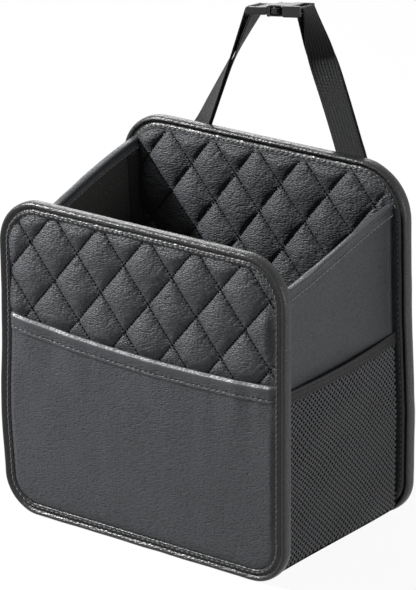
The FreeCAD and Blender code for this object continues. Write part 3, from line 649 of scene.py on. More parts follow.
def felted(name, base, group, fibres, depth, fleck_tone, sheen):
    """Felt with flecks of a tone of its base."""
    made, tree, shader = new_material(name, Specular_IOR_Level=0.08, Sheen_Weight=sheen, Sheen_Roughness=0.6)
    felt = place_group(tree, group, Fibres=fibres, Flecks=900.0)
    ground = tones(tree, felt["Tone"], base, 0.5, 1.4)
    tone = blend_colours(tree, felt["Fleck"], ground, (*(c * fleck_tone for c in base), 1.0))
    rough = from_range(tree, felt["Tone"], 0.0, 1.0, 0.98, 0.86)
    lead_in(tree, shader, tone, rough, felt["Height"], depth)
    return made


def moulded(name, base):
    """Glossy moulded plastic with a faint ripple and rubbed patches."""
    made, tree, shader = new_material(name, Specular_IOR_Level=0.35, Coat_Weight=0.1, Coat_Roughness=0.12)
    place = own_place(tree)
    rubbed = noise(tree, place, 190.0, 3.0)[0]
    rough = from_range(tree, rubbed, 0.3, 0.7, 0.12, 0.26)
    ripple = noise(tree, place, 900.0, 2.0)[0]
    lead_in(tree, shader, tones(tree, rubbed, base, 0.8, 1.3), rough, ripple, 0.04 * MM)
    return made


def threads(name, base, shine, sheen):
    """Twisted thread."""
    made, tree, shader = new_material(name, Specular_IOR_Level=shine, Sheen_Weight=sheen)
    twist = noise(tree, own_place(tree), 1600.0, 2.0)[0]
    rough = from_range(tree, twist, 0.3, 0.7, 0.5, 0.75)
    lead_in(tree, shader, tones(tree, twist, base, 0.55, 1.4), rough, twist, 0.12 * MM)
    return made


def material(name):
    """One of the materials, all made when the first is asked for."""
    if not MATERIALS:
        make_materials()
    return MATERIALS[name]


def make_materials():
    f = bpy.context.scene.organizer_finish
    pebble, weave, felt = pebble_group(), weave_group(), felt_group()
    for key, label, base, pebbles, depth, rough, shine, coat in (
        ("leathercloth", "Plain leathercloth", f.leathercloth, 900.0, 0.5 * MM, 0.42, 0.24, 0.0),
        ("hem", "Folded leathercloth", f.leathercloth, 900.0, 0.16 * MM, 0.36, 0.34, 0.0),
        ("quilt", "Quilted leathercloth", f.quilt, 920.0, 0.8 * MM, 0.45, 0.22, 0.0),
        ("binding", "Binding leathercloth", f.binding, 800.0, 0.4 * MM, 0.32, 0.36, 0.08),
    ):
        MATERIALS[key] = leathercloth(label, base, pebble, pebbles, depth, rough, shine, coat)
    for key, label, base, fibres, depth, fleck_tone, sheen in (
        ("felt", "Flecked felt", f.felt, 900.0, 0.6 * MM, 2.2, 0.1),
        # The net ground's near-black tone is painted shade behind the strands
        ("ground", "Net shade backing", f.ground, 1200.0, 0.3 * MM, 1.5, 0.0),
    ):
        MATERIALS[key] = felted(label, base, felt, fibres, depth, fleck_tone, sheen)
    for key, label, base, picks, ends, depth, rough, sheen, dark, light, shine in (
        # Net strands lightened past the black net's own colour: painted highlight
        ("net", "Net strands", f.net, 900.0, 600.0, 0.2 * MM, 0.5, 0.05, 0.6, 1.4, 0.2),
        ("tape", "Corner tape", f.tape, 900.0, 600.0, 0.2 * MM, 0.8, 0.1, 0.6, 1.4, 0.2),
        ("elastic", "Ribbed elastic", f.elastic, 1100.0, 300.0, 0.3 * MM, 0.6, 0.15, 0.6, 1.4, 0.2),
        ("webbing", "Ribbed webbing", f.webbing, 1000.0, 360.0, 0.4 * MM, 0.5, 0.03, 0.4, 1.7, 0.1),
    ):
        MATERIALS[key] = woven(label, base, weave, picks, ends, depth, rough, sheen, dark, light, shine)
    MATERIALS["plastic"] = moulded("Buckle plastic", f.plastic)
    for key, label, base, shine, sheen in (
        ("thread", "Pale thread", f.thread, 0.4, 0.2),
        ("binding_thread", "Binding thread", f.binding_thread, 0.4, 0.2),
        ("seam_shade_thread", "Seam shade thread", f.seam_shade_thread, 0.04, 0.0),
    ):
        MATERIALS[key] = threads(label, base, shine, sheen)


# Quilted panels

SEAM_FLAT = 0.5 * MM
SEAM_PULL = 4.5 * MM
SEAM_REACH, SEAM_STEP = 0.16, 0.4 * MM
SEAMS_EACH_WAY = 14
SHORTEST_SEAM = 12
THREAD_LIFT = 0.3 * MM


def quilt_height(x, z, crossing, diamond, loft):
    """Height of a quilt over its seams: full diamonds, pulled into puckers along the stitching."""
    across, up = (x - crossing[0]) / diamond[0], (z - crossing[1]) / diamond[1]
    p, q = across + up, across - up
    space = 1 / math.hypot(1 / diamond[0], 1 / diamond[1])
    dp, dq = np.abs(p - np.round(p)) * space, np.abs(q - np.round(q)) * space

    def rise(d):
        """Up from the flat bottom of a seam to the crown of a diamond."""
        return np.sin(np.clip((d - SEAM_FLAT) / (space / 2 - SEAM_FLAT), 0, 1) * np.pi / 2) ** 0.6

    pillow = (rise(dp) * rise(dq)) ** 0.85
    pull = (
        soft_noise(q * 15, np.round(p) * 3.7 + 9, seed=3) * np.exp(-dp / SEAM_PULL)
        + soft_noise(p * 15, np.round(q) * 3.7 + 5, seed=5) * np.exp(-dq / SEAM_PULL)
    )
    lumps = soft_noise(x / (13 * MM) + 40, z / (7 * MM), seed=7)
    lumps = lumps + 0.6 * soft_noise(x / (5 * MM), z / (3 * MM) + 20, seed=9)
    return loft * (pillow * (1 + 0.07 * lumps) + 0.16 * pull * np.minimum(1, pillow * 2.5))


def seam_lines(crossing, diamond, slant, kept, face):
    """Stitch lines of a quilt that rise to the right, or fall where slant is negative, as far as kept."""
    lines = []
    reach = np.arange(-SEAM_REACH, SEAM_REACH, SEAM_STEP)
    for number in range(-SEAMS_EACH_WAY, SEAMS_EACH_WAY + 1):
        x = crossing[0] + number * diamond[0] + reach
        z = crossing[1] + slant * reach * diamond[1] / diamond[0]
        here = kept(x, z)
        if here.sum() >= SHORTEST_SEAM:
            x, z = x[here], z[here]
            lines.append((np.stack([x, face(x, z) - THREAD_LIFT, z], 1), (0, -1, 0)))
    return lines


class ORGANIZER_OT_quilts(bpy.types.Operator):
    """Sew the quilted faces of the front and the back"""

    bl_idname = "organizer.quilts"
    bl_label = "Quilted panels"

    def execute(self, context):
        s = sizes()
        inset = s.binding_width - UNDER_BINDING
        front = panel_outline(FRONT_TOP, s.front_corner, inset)
        back = panel_outline(BACK_TOP, s.back_corner, inset)

        def tuck(x, z, outline):
            """What is left of the loft towards the binding."""
            return 0.26 + 0.74 * ease(from_edge(x, z, outline), 0.5 * MM, 9 * MM)

        def front_face(x, z):
            """Quilted above the slip pocket, flat behind it."""
            height = quilt_height(x, z, s.front_crossing, s.front_diamond, s.loft)
            open_above = 0.1 + 0.9 * ease(z - pocket_edge(x), -1 * MM, 8 * MM)
            return FRONT_SKIN - height * tuck(x, z, front) * open_above

        def back_face(x, z):
            """Quilted between the gussets and above the base, and right across over the gussets."""
            height = quilt_height(x, z, s.back_crossing, s.back_diamond, s.loft)
            over_gussets = ease(z - side_slope(BACK_IN), 2 * MM, 8 * MM)
            wall = np.maximum(ease(FELT_IN - np.abs(x), 1 * MM, 6 * MM), over_gussets)
            floor = ease(z - BASE_TOP, 1 * MM, 6 * MM)
            return BACK_IN - height * tuck(x, z, back) * wall * floor

        def on_front(x, z):
            return (from_edge(x, z, front) > 2 * MM) & (z > pocket_edge(x) + 0.5 * MM)

        def on_back(x, z):
            between = (np.abs(x) < FELT_IN - 2 * MM) & (z > BASE_TOP + 3 * MM)
            return (from_edge(x, z, back) > 2 * MM) & between

        grid = field_grid(front, 1.0 * MM, plain_to=s.pocket_right - 20 * MM)
        self.sew("front", grid, front_face, 1.5 * MM, on_front, s.front_crossing, s.front_diamond)
        grid = field_grid(back, 1.05 * MM)
        self.sew("back", grid, back_face, 2.0 * MM, on_back, s.back_crossing, s.back_diamond)
        return {"FINISHED"}

    def sew(self, panel, grid, face, thickness, kept, crossing, diamond):
        """One padded panel over a grid, and the thread along its seams."""
        x, z = grid
        piece = thick_sheet(
            f"{panel}_quilt", np.stack([x, face(x, z), z], -1), (0, thickness, 0), "quilt", fine=True,
            stands_for=(f"{panel}_quilted_panel", f"{panel}_board"),
        )
        lines = [line for slant in (-1, 1) for line in seam_lines(crossing, diamond, slant, kept, face)]
        thread = {"pitch": 2.7 * MM, "radius": 0.46 * MM, "share": 0.68}
        # The quilt stitches are near black: real thread, with the seam valleys' shade painted in
        stitches(f"{panel}_quilt_stitches", lines, "seam_shade_thread", **thread)


# Slip pocket

POCKET_UNDER = 0.8 * MM
# Rows of the pocket: close together over the hem, then in step with its height down to its foot
HEM_ROWS, HEM_END = 40, 13 * MM
FALL_ROWS, FALL_START, FALL_END = 46, 14.5 * MM, 130 * MM
# Distance below the fold and how far the cloth stands off the panel there, in millimetres
HEM_DRAWN = 9.0
HEM_PROFILE = (
    (0, 2.2), (0.6, 3.0), (1.4, 3.35), (2.4, 3.3), (3.6, 2.9), (5.0, 2.6), (8.0, 2.4), (8.7, 1.9),
    (9.0, 1.55), (9.4, 1.85), (10.1, 2.1), (11.2, 2.0), (12.0, 1.35), (13.0, 1.25), (130.0, 1.2),
)
# How far the cloth rolls back and up over the fold, and where it then lies behind it, back and up
FOLD_BACK, FOLD_UP = 0.825 * MM, 0.9 * MM
TURNED_IN = ((1.6 * MM, -3 * MM), (1.5 * MM, -7 * MM))
TURN_IN = 10 * MM
RUBBED = 4.5 * MM


class ORGANIZER_OT_slip_pocket(bpy.types.Operator):
    """Cut and hem the slip pocket on the front"""

    bl_idname = "organizer.slip_pocket"
    bl_label = "Slip pocket"

    def execute(self, context):
        s = sizes()
        half, low, _, r, _ = panel_outline(FRONT_TOP, s.front_corner, s.binding_width - POCKET_UNDER)
        turn = np.linspace(0, np.pi / 2, 22)
        across = np.concatenate([
            -half + r - r * np.cos(turn)[:-1], np.linspace(r - half, half - r, 110),
            half - r + r * np.sin(turn)[1:],
        ])
        dip = np.maximum(0, np.abs(across) - (half - r))
        foot = low + r - np.sqrt(np.maximum(0, r * r - dip * dip))
        edge = pocket_edge(across)
        below = np.concatenate([
            np.linspace(0, HEM_END, HEM_ROWS), np.linspace(FALL_START, FALL_END, FALL_ROWS),
        ])[:, None]
        z = edge - np.where(below > HEM_END, below * ((edge - foot) / FALL_END), below)
        z = np.maximum(z, foot)
        x = np.repeat(across[None, :], len(below), 0)

        at, off = np.array(HEM_PROFILE).T * MM
        stand = np.interp(below, at * s.pocket_hem / (HEM_DRAWN * MM), off)
        sides = ease(half - np.abs(x), 0.2 * MM, 5 * MM)
        bottom = ease(z - foot, 0.2 * MM, 6 * MM)
        belly = 0.9 * MM * sides * bottom * np.sin(np.clip(below / FALL_END, 0, 1) * np.pi) ** 0.7
        sway = soft_noise(x / (19 * MM) + 3, z / (70 * MM), seed=21)
        sway = sway + 0.5 * soft_noise(x / (9 * MM), z / (45 * MM) + 7, seed=23)
        ripple = 0.8 * MM * sway * np.exp(-np.abs(below - 18 * MM) / (50 * MM)) * sides
        y = FRONT_SKIN - (stand * (0.25 + 0.75 * sides) * (0.2 + 0.8 * bottom) + belly + ripple)

        over = np.radians((40, 85, 130, 175))
        rolled = [*zip(FOLD_BACK * (1 - np.cos(over)), FOLD_UP * np.sin(over)), *TURNED_IN]
        fold = [np.stack([across, y[0] + dy, edge + dz], -1) for dy, dz in reversed(rolled)]
        face = np.concatenate([fold, np.stack([x, y, z], -1)])
        piece = thick_sheet(
            "slip_pocket", face, (0, 0.5 * MM, 0), "leathercloth", stands_for=("front_pocket",)
        )
        self.rub(piece.data)
        seam = int(np.argmin(np.abs(below - s.pocket_hem)))
        line = np.stack([x[seam], y[seam] - 0.1 * MM, z[seam]], 1)[4:-4]
        sewn = stitches(
            "slip_pocket_stitches", [(line, (0, -1, 0.1))], "thread", pitch=s.stitch_pitch, radius=0.36 * MM
        )
        cut = 2 * half, float(np.max(edge) - low) + TURN_IN
        declare_cloth(piece, face, "front_quilt", flat=cut, with_pieces=[sewn])
        return {"FINISHED"}

    def rub(self, mesh):
        """Make the fold smoother than the rest."""
        mesh.materials.append(material("hem"))
        middle = np.zeros(len(mesh.polygons) * 3)
        mesh.polygons.foreach_get("center", middle)
        x, _, z = middle.reshape(-1, 3).T
        mesh.polygons.foreach_set("material_index", (z > pocket_edge(x) - RUBBED).astype(np.int32))


# Bindings

# Depth from the panel's edge and place through the panel of one half of the tape, in millimetres
BINDING_DRAWN = 8.2
BINDING_PROFILE = (
    (8.5, 1.6), (8.45, 0.8), (8.0, 0.25), (7.2, 0.0), (6.4, 0.05), (5.6, 0.25), (5.0, 0.75), (4.4, 1.05),
    (3.9, 0.85), (3.4, 0.3), (2.7, -0.3), (1.8, -0.55), (0.9, -0.25), (0.15, 0.6), (-0.25, 1.9), (-0.35, 4.0),
)
BINDING_SEAM = 6.7 * MM
BINDING_END = 8.4 * MM


class ORGANIZER_OT_bindings(bpy.types.Operator):
    """Fold and stitch the binding round the front and the back"""

    bl_idname = "organizer.bindings"
    bl_label = "Edge bindings"

    def execute(self, context):
        s = sizes()
        half = np.array(BINDING_PROFILE) * MM
        half[:, 0] *= s.binding_width / (BINDING_DRAWN * MM)
        profile = folded(half, 1, PANEL)
        self.bind("front", panel_outline(FRONT_TOP, s.front_corner), FRONT_OUT, profile)
        self.bind("back", panel_outline(BACK_TOP, s.back_corner), BACK_IN, profile)
        return {"FINISHED"}

    def bind(self, panel, outline, out, profile):
        """The binding of a panel that begins at out, and its stitches on both faces."""
        pitch = sizes().stitch_pitch
        path, way = outline_path(outline, 1.4 * MM)
        run = run_length(path)[:, None]
        depth, across = profile.T[:, None, :]
        pucker = bell(depth, BINDING_SEAM, 1.5 * MM) * np.cos(run / pitch * 2 * np.pi) * 0.13 * MM
        uneven = 0.16 * MM * soft_noise(run / (11 * MM), depth / (5 * MM) + 3, seed=31)
        uneven = uneven * ease(BINDING_END - depth, 0, 2 * MM)
        y = out + across + np.sign(PANEL / 2 - across) * (pucker + uneven)
        d = depth + 0.12 * MM * soft_noise(run / (17 * MM), across / (4 * MM), seed=37)
        points = np.stack([path[:, :1] + way[:, :1] * d, y, path[:, 1:] + way[:, 1:] * d], -1)
        rows, cols = points.shape[:2]
        grid = np.arange(rows * cols).reshape(rows, cols)
        faces = quads(rows, cols)
        faces += np.stack([grid[-1, :-1], grid[-1, 1:], grid[0, 1:], grid[0, :-1]], -1).tolist()
        new_piece(f"{panel}_binding", points, faces, "binding", stands_for=(f"{panel}_edge_binding",))
        lines = []
        for at, away in ((out - 0.02 * MM, -1), (out + PANEL + 0.02 * MM, 1)):
            line = np.insert(path + way * BINDING_SEAM, 1, at, axis=1)
            lines.append((np.concatenate([line, line[:1]]), (0, away, 0)))
        thread = {"pitch": pitch, "radius": 0.42 * MM, "share": 0.96}
        stitches(f"{panel}_binding_stitches", lines, "binding_thread", **thread)


# Linings and plain panels

class ORGANIZER_OT_linings(bpy.types.Operator):
    """Line the front with felt and cover the back and the base"""

    bl_idname = "organizer.linings"
    bl_label = "Linings and covers"

    def execute(self, context):
        s = sizes()
        front, back = (FRONT_TOP, s.front_corner), (BACK_TOP, s.back_corner)
        for name, panel, at, cloth, node, quilt in (
            ("front_felt", front, FRONT_IN, "felt", "front_lining", "front_quilt"),
            ("back_cover", back, BACK_OUT, "leathercloth", "back_outer_panel", "back_quilt"),
        ):
            outline = panel_outline(*panel, s.binding_width - UNDER_BINDING)
            x, z = field_grid(outline, 4 * MM)
            soft = ease(from_edge(x, z, outline), 0, 9 * MM)
            wave = 0.25 * MM * soft_noise(x / (34 * MM), z / (29 * MM), seed=41)
            face = np.stack([x, at - 1 * MM + (1 * MM + wave) * soft, z], -1)
            piece = thick_sheet(name, face, (0, -1.4 * MM, 0), cloth, stands_for=(node,))
            half, low, high = outline[:3]
            declare_cloth(piece, face, quilt, flat=(2 * half, high - low))

        x, y = self.base_grid(SIDE_OUT - 4.5 * MM)
        sag = ease(np.minimum(y - FRONT_IN, BACK_IN - y), 0, 12 * MM)
        z = BASE_LOW - 0.6 * MM * sag * (1 + 0.5 * soft_noise(x / (40 * MM), y / (30 * MM), seed=43))
        face = np.stack([x, y, z], -1)
        nodes = "base_panel", "base_board"
        piece = thick_sheet("base_cover", face, (0, 0, 1.4 * MM), "leathercloth", stands_for=nodes)
        declare_cloth(piece, face, "front_binding", "back_binding")

        x, y = self.base_grid(FELT_IN - 0.3 * MM)
        z = BASE_TOP - 0.4 * MM * soft_noise(x / (45 * MM), y / (38 * MM), seed=47) ** 2
        face = np.stack([x, y, z], -1)
        piece = thick_sheet("base_felt", face, (0, 0, -1.4 * MM), "felt", stands_for=("base_lining",))
        declare_cloth(piece, face, "base_cover", held="laid")
        return {"FINISHED"}

    def base_grid(self, reach):
        """Points between the two panels, out to a reach on both sides."""
        deep = np.linspace(FRONT_IN + 0.2 * MM, BACK_IN - 0.2 * MM, 42)
        return np.meshgrid(np.linspace(-reach, reach, 64), deep)


# Gussets

GUSSET_BEND = 5 * MM
UNDER_HEM = 1 * MM
TAPE_WIDTH = 12 * MM
HEM_SEAM = 4.9 * MM
# Place through the gusset and up from its edge of one half of the folded hem, where it is 5 wide
FOLD_DRAWN = 5
FOLD_PROFILE = (
    (4.0, -6.9), (4.7, -6.5), (5.3, -5.7), (5.5, -4.9), (5.2, -4.1), (4.7, -3.3), (4.5, -2.4), (4.8, -1.5),
    (5.3, -0.6), (5.35, 0.3), (4.8, 1.05), (3.7, 1.4), (2.5, 1.5),
)


class ORGANIZER_OT_gussets(bpy.types.Operator):
    """Hang the two gussets with their linings, hems and corner tapes"""

    bl_idname = "organizer.gussets"
    bl_label = "Side gussets"

    def execute(self, context):
        deep = np.linspace(FRONT_IN + 0.1 * MM, BACK_IN - 0.1 * MM, 96)
        for side, place in SIDES:
            self.cloth(side, place, deep)
            self.felt(side, place, deep)
            self.hem(side, place, np.linspace(deep[0], deep[-1], 190))
            self.tape(side, place, "front", FRONT_IN)
            self.tape(side, place, "back", BACK_IN - TAPE_WIDTH)
        return {"FINISHED"}

    def cloth(self, side, place, deep):
        """The outer cloth, which turns under at the base and has a welt along each upright seam."""
        r, low = GUSSET_BEND, BASE_LOW + GUSSET_BEND
        bend = np.radians(np.linspace(-90, 0, 8))[:, None]
        share = np.linspace(0, 1, 54)[1:, None]
        z = np.concatenate([
            np.repeat(low + r * np.sin(bend), len(deep), 1),
            low + share * (side_slope(deep, place) - UNDER_HEM - low),
        ])
        x = np.concatenate([SIDE_OUT - r + r * np.cos(bend), np.full(share.shape, SIDE_OUT)])
        y = np.repeat(deep[None, :], len(z), 0)
        ends = np.minimum(y - FRONT_IN, BACK_IN - y)
        swell = 0.7 * MM * soft_noise(y / (48 * MM) + 5, z / (60 * MM), seed=51 + place)
        swell = swell * ease(ends, 3 * MM, 25 * MM)
        welt = 0.8 * MM * bell(ends, 3.6 * MM, 1.1 * MM) - 0.7 * MM * bell(ends, 1.2 * MM, 0.9 * MM)
        x = x + (swell + welt) * ease(z, BASE_LOW, BASE_LOW + 12 * MM)
        sheet = side_sheet(f"{side}_gusset", f"{side}_side_panel", place, x, y, z, -1.3 * MM, "leathercloth")
        declare_cloth(*sheet, "front_binding", "back_binding")

    def felt(self, side, place, deep):
        """The lining inside."""
        low = BASE_TOP - 1 * MM
        z = low + np.linspace(0, 1, 40)[:, None] * (side_slope(deep, place) - UNDER_HEM - low)
        y = np.repeat(deep[None, :], len(z), 0)
        x = FELT_IN + 0.25 * MM * soft_noise(y / (30 * MM), z / (36 * MM), seed=57 + place)
        sheet = side_sheet(f"{side}_felt", f"{side}_side_lining", place, x, y, z, 1.3 * MM, "felt")
        declare_cloth(*sheet, f"{side}_gusset")

    def hem(self, side, place, deep):
        """The folded hem along a gusset's top, with a row of stitches on each face."""
        pitch = sizes().stitch_pitch
        inner, outer = TOP_TAPE_BOX[0].x, TOP_TAPE_BOX[1].x
        wide = outer - inner
        through, up = folded(np.array(FOLD_PROFILE) * wide / FOLD_DRAWN, 0, wide).T[:, None, :]
        top = side_slope(deep, place)
        climb = np.gradient(top, deep)
        norm = np.stack([-climb, np.ones_like(climb)], 1) / np.hypot(1, climb)[:, None]
        line = np.stack([deep, top], 1)
        pucker = np.cos(deep[:, None] / pitch * 2 * np.pi) * 0.1 * MM * bell(up, -HEM_SEAM, 1.2 * MM)
        lift = up + 0.3 * MM * soft_noise(deep[:, None] / (15 * MM), through / (3 * MM), seed=71)
        x = inner + through + pucker * np.sign(wide / 2 - through)
        y, z = (line[:, None, :] + norm[:, None, :] * lift[..., None]).transpose(2, 0, 1)
        points = np.stack([x * place, y, z], -1)
        faces = quads(*points.shape[:2])
        new_piece(f"{side}_hem", points, faces, "hem", stands_for=(f"{side}_top_binding",))
        lines = []
        for at, out in ((outer + 0.6 * MM, place), (inner - 0.6 * MM, -place)):
            sewn = np.insert(line - norm * HEM_SEAM, 0, at * place, axis=1)
            lines.append((sewn[2:-2], (out, 0, 0)))
        stitches(f"{side}_hem_stitches", lines, "thread", pitch=pitch, radius=0.44 * MM, share=0.9)

    def tape(self, side, place, end, start):
        """Tape over the upright seam at one end of a gusset, inside the box."""
        across = np.linspace(start + 0.2 * MM, start + TAPE_WIDTH - 0.2 * MM, 12)
        top = side_slope(start + TAPE_WIDTH / 2, place) - 9 * MM
        y, z = np.meshgrid(across, np.linspace(BASE_TOP, top, 60))
        edge = np.minimum(y - across[0], across[-1] - y)
        x = FELT_IN - 0.45 * MM - 0.4 * MM * ease(edge, 0, 2 * MM)
        x = x + 0.1 * MM * soft_noise(z / (20 * MM), y / (8 * MM), seed=61)
        names = f"{side}_{end}_tape", f"{side}_{end}_corner_tape"
        side_sheet(*names, place, x, y, z, 0.4 * MM, "tape", uv=np.stack([y, z], -1))


# Net pockets

NET_FOOT, NET_MIDDLE, NET_REACH = 1.5 * MM, 0.06, 0.26
STRAND_HALF, STRAND_CROWN, STRAND_FOOT, STRAND_BEAT = 0.52 * MM, 0.42 * MM, 0.22 * MM, 0.12 * MM
BAND_HEIGHT = 8 * MM


class ORGANIZER_OT_net_pockets(bpy.types.Operator):
    """Knit the net pockets and their elastic bands"""

    bl_idname = "organizer.net_pockets"
    bl_label = "Net pockets"

    def execute(self, context):
        for side, place in SIDES:
            ground = self.ground(side, place)
            on_it = [self.net(side, place), self.band(side, place)]
            declare_cloth(*ground, f"{side}_gusset", with_pieces=on_it)
        return {"FINISHED"}

    def mouth(self, y):
        """Height of the band's upper edge."""
        share = back_share(y)
        return BAND_TOP - 3 * MM * (1 - share) - 1.2 * MM * np.sin(share * np.pi)

    def bow(self, y, z):
        """How far the net stands off the gusset."""
        up = np.clip((z - BASE_LOW) / (BAND_TOP - BASE_LOW), 0, 1)
        return 0.9 * MM + sizes().net_slack * np.sin(back_share(y) * np.pi) ** 0.8 * (0.25 + 0.75 * up)

    def ripple(self, y, z, place):
        """Unevenness that the strands share with their ground."""
        return 0.25 * MM * soft_noise(y / (22 * MM), z / (26 * MM), seed=81 + place)

    def ground(self, side, place):
        """A near-black sheet behind the strands: painted shade that darkens the holes of the net."""
        deep = np.linspace(FRONT_IN + 0.5 * MM, BACK_IN - 0.5 * MM, 54)
        y, share = np.meshgrid(deep, np.linspace(0, 1, 48))
        z = BASE_LOW + 0.5 * MM + share * (self.mouth(y) - 7.4 * MM - BASE_LOW)
        x = SIDE_OUT + self.bow(y, z) - 0.45 * MM + self.ripple(y, z, place)
        x = np.where(z < BASE_LOW + 3 * MM, np.minimum(x, SIDE_OUT + 0.2 * MM), x)
        return side_sheet(f"{side}_net_shade_backing", f"{side}_mesh_pocket", place, x, y, z, -0.25 * MM, "ground")

    def net(self, side, place):
        """Strands that cross on the diagonal, each over one and under the next."""
        diagonal = math.sqrt(2)
        gap = sizes().net_pitch * diagonal
        low = BASE_LOW + NET_FOOT
        start, end = FRONT_IN + 1 * MM, BACK_IN - 1 * MM
        last = int(NET_REACH / gap)
        points, faces, uv, count = [], [], [], 0
        for lean in (1, -1):
            across = np.array([0, -lean, 1]) / diagonal
            for number in range(-last, last + 1):
                y = np.arange(start, end, gap / 2)
                z = low + NET_MIDDLE + number * gap + lean * (y - (start + end) / 2)
                z = z + 1.7 * MM * soft_noise(y / (31 * MM) + 11, z / (27 * MM), seed=83 + place)
                kept = (z > low) & (z < self.mouth(y) - 7.2 * MM)
                if kept.sum() < 3:
                    continue
                y, z = y[kept], z[kept]
                beat = np.where(np.arange(len(y)) % 2 == (number + (lean < 0)) % 2, 1.0, -1.0)
                x = SIDE_OUT + self.bow(y, z) + self.ripple(y, z, place) + STRAND_BEAT * beat
                centre = np.stack([x, y, z], 1)
                wide = across * (STRAND_HALF * (1 + 0.25 * beat))[:, None]
                foot, crown = centre - (STRAND_FOOT, 0, 0), centre + (STRAND_CROWN, 0, 0)
                points.append(np.stack([foot + wide, crown, foot - wide], 1).reshape(-1, 3) * (place, 1, 1))
                run = np.repeat((y - start)[:, None], 3, 1) * diagonal
                width = np.broadcast_to(np.array([0, 0.5, 1]) * MM, run.shape)
                uv.append(np.stack([width, run], -1).reshape(-1, 2))
                faces += quads(len(y), 3, count, wrap=True)
                count += len(y) * 3
        return new_piece(f"{side}_net", np.concatenate(points), faces, "net", uv=np.concatenate(uv))

    def band(self, side, place):
        """Elastic with lengthwise ribs, along the mouth of the net."""
        down = np.linspace(0, 1, 41)[:, None]
        rib = 0.32 * MM * np.abs(np.sin(down * 4 * np.pi)) ** 0.6 * ease(np.minimum(down, 1 - down), 0, 0.05)
        y = np.repeat(np.linspace(FRONT_IN + 0.4 * MM, BACK_IN - 0.4 * MM, 120)[None, :], len(down), 0)
        z = self.mouth(y) - down * BAND_HEIGHT
        gather = 0.10 * MM * soft_noise(y / (2.2 * MM), z / (6 * MM), seed=91)
        x = SIDE_OUT + self.bow(y, z) + 0.5 * MM + rib + gather
        names = f"{side}_band", f"{side}_mesh_band"
        return side_sheet(*names, place, x, y, z, -0.9 * MM, "elastic", uv=np.stack([z, y], -1))[0]


# Straps and buckle

BUCKLE_MIDDLE = np.array((0.0022, 0.0701, 0.3470))
BUCKLE_DROP = np.array((0.0, 0.0, -0.0013))
BUCKLE_TRIM = np.array((0.9, 0.95, 1.0))
BUCKLE_YAW, BUCKLE_PITCH, BUCKLE_ROLL = 16.2, -3.5, -10.0
BAR_REACH = 0.0206 * BUCKLE_TRIM[0]
LOOP_RADIUS = 1.9 * MM
TAIL = 26 * MM
SLACK = 0.4 * MM
STITCH_INSET = 3 * MM

# Side and end of the buckle; place across, stand-off and turn of the crest; place across and drop of the
# root; swing out to its own side, how late it turns on its way up, and how much it cups where it turns
Leg = namedtuple("Leg", "side end crest stand turn root drop swing late cup")
STRAP_LEGS = (
    Leg("left", -1, crest=-0.0610, stand=0.0080, turn=-39.0, root=-0.0735, drop=0.034,
        swing=0.0, late=1.0, cup=0.25),
    Leg("right", 1, crest=0.0640, stand=0.0050, turn=-7.25, root=0.0735, drop=0.020,
        swing=0.0012, late=2.5, cup=0.58),
)


def turned(degrees, axis):
    """A turn about one of the three axes."""
    c, s = math.cos(math.radians(degrees)), math.sin(math.radians(degrees))
    first, second = (axis + 1) % 3, (axis + 2) % 3
    turn = np.eye(3)
    turn[first, first] = turn[second, second] = c
    turn[first, second], turn[second, first] = -s, s
    return turn


# The buckle's own axes as columns: from plug to socket, across it, and through it
BUCKLE_AXES = turned(BUCKLE_YAW, 2) @ turned(BUCKLE_PITCH, 1) @ turned(BUCKLE_ROLL, 0)


def bar_place(end):
    """Middle of the bar at one end of the buckle."""
    return BUCKLE_MIDDLE + BUCKLE_DROP + BUCKLE_AXES[:, 0] * BAR_REACH * end


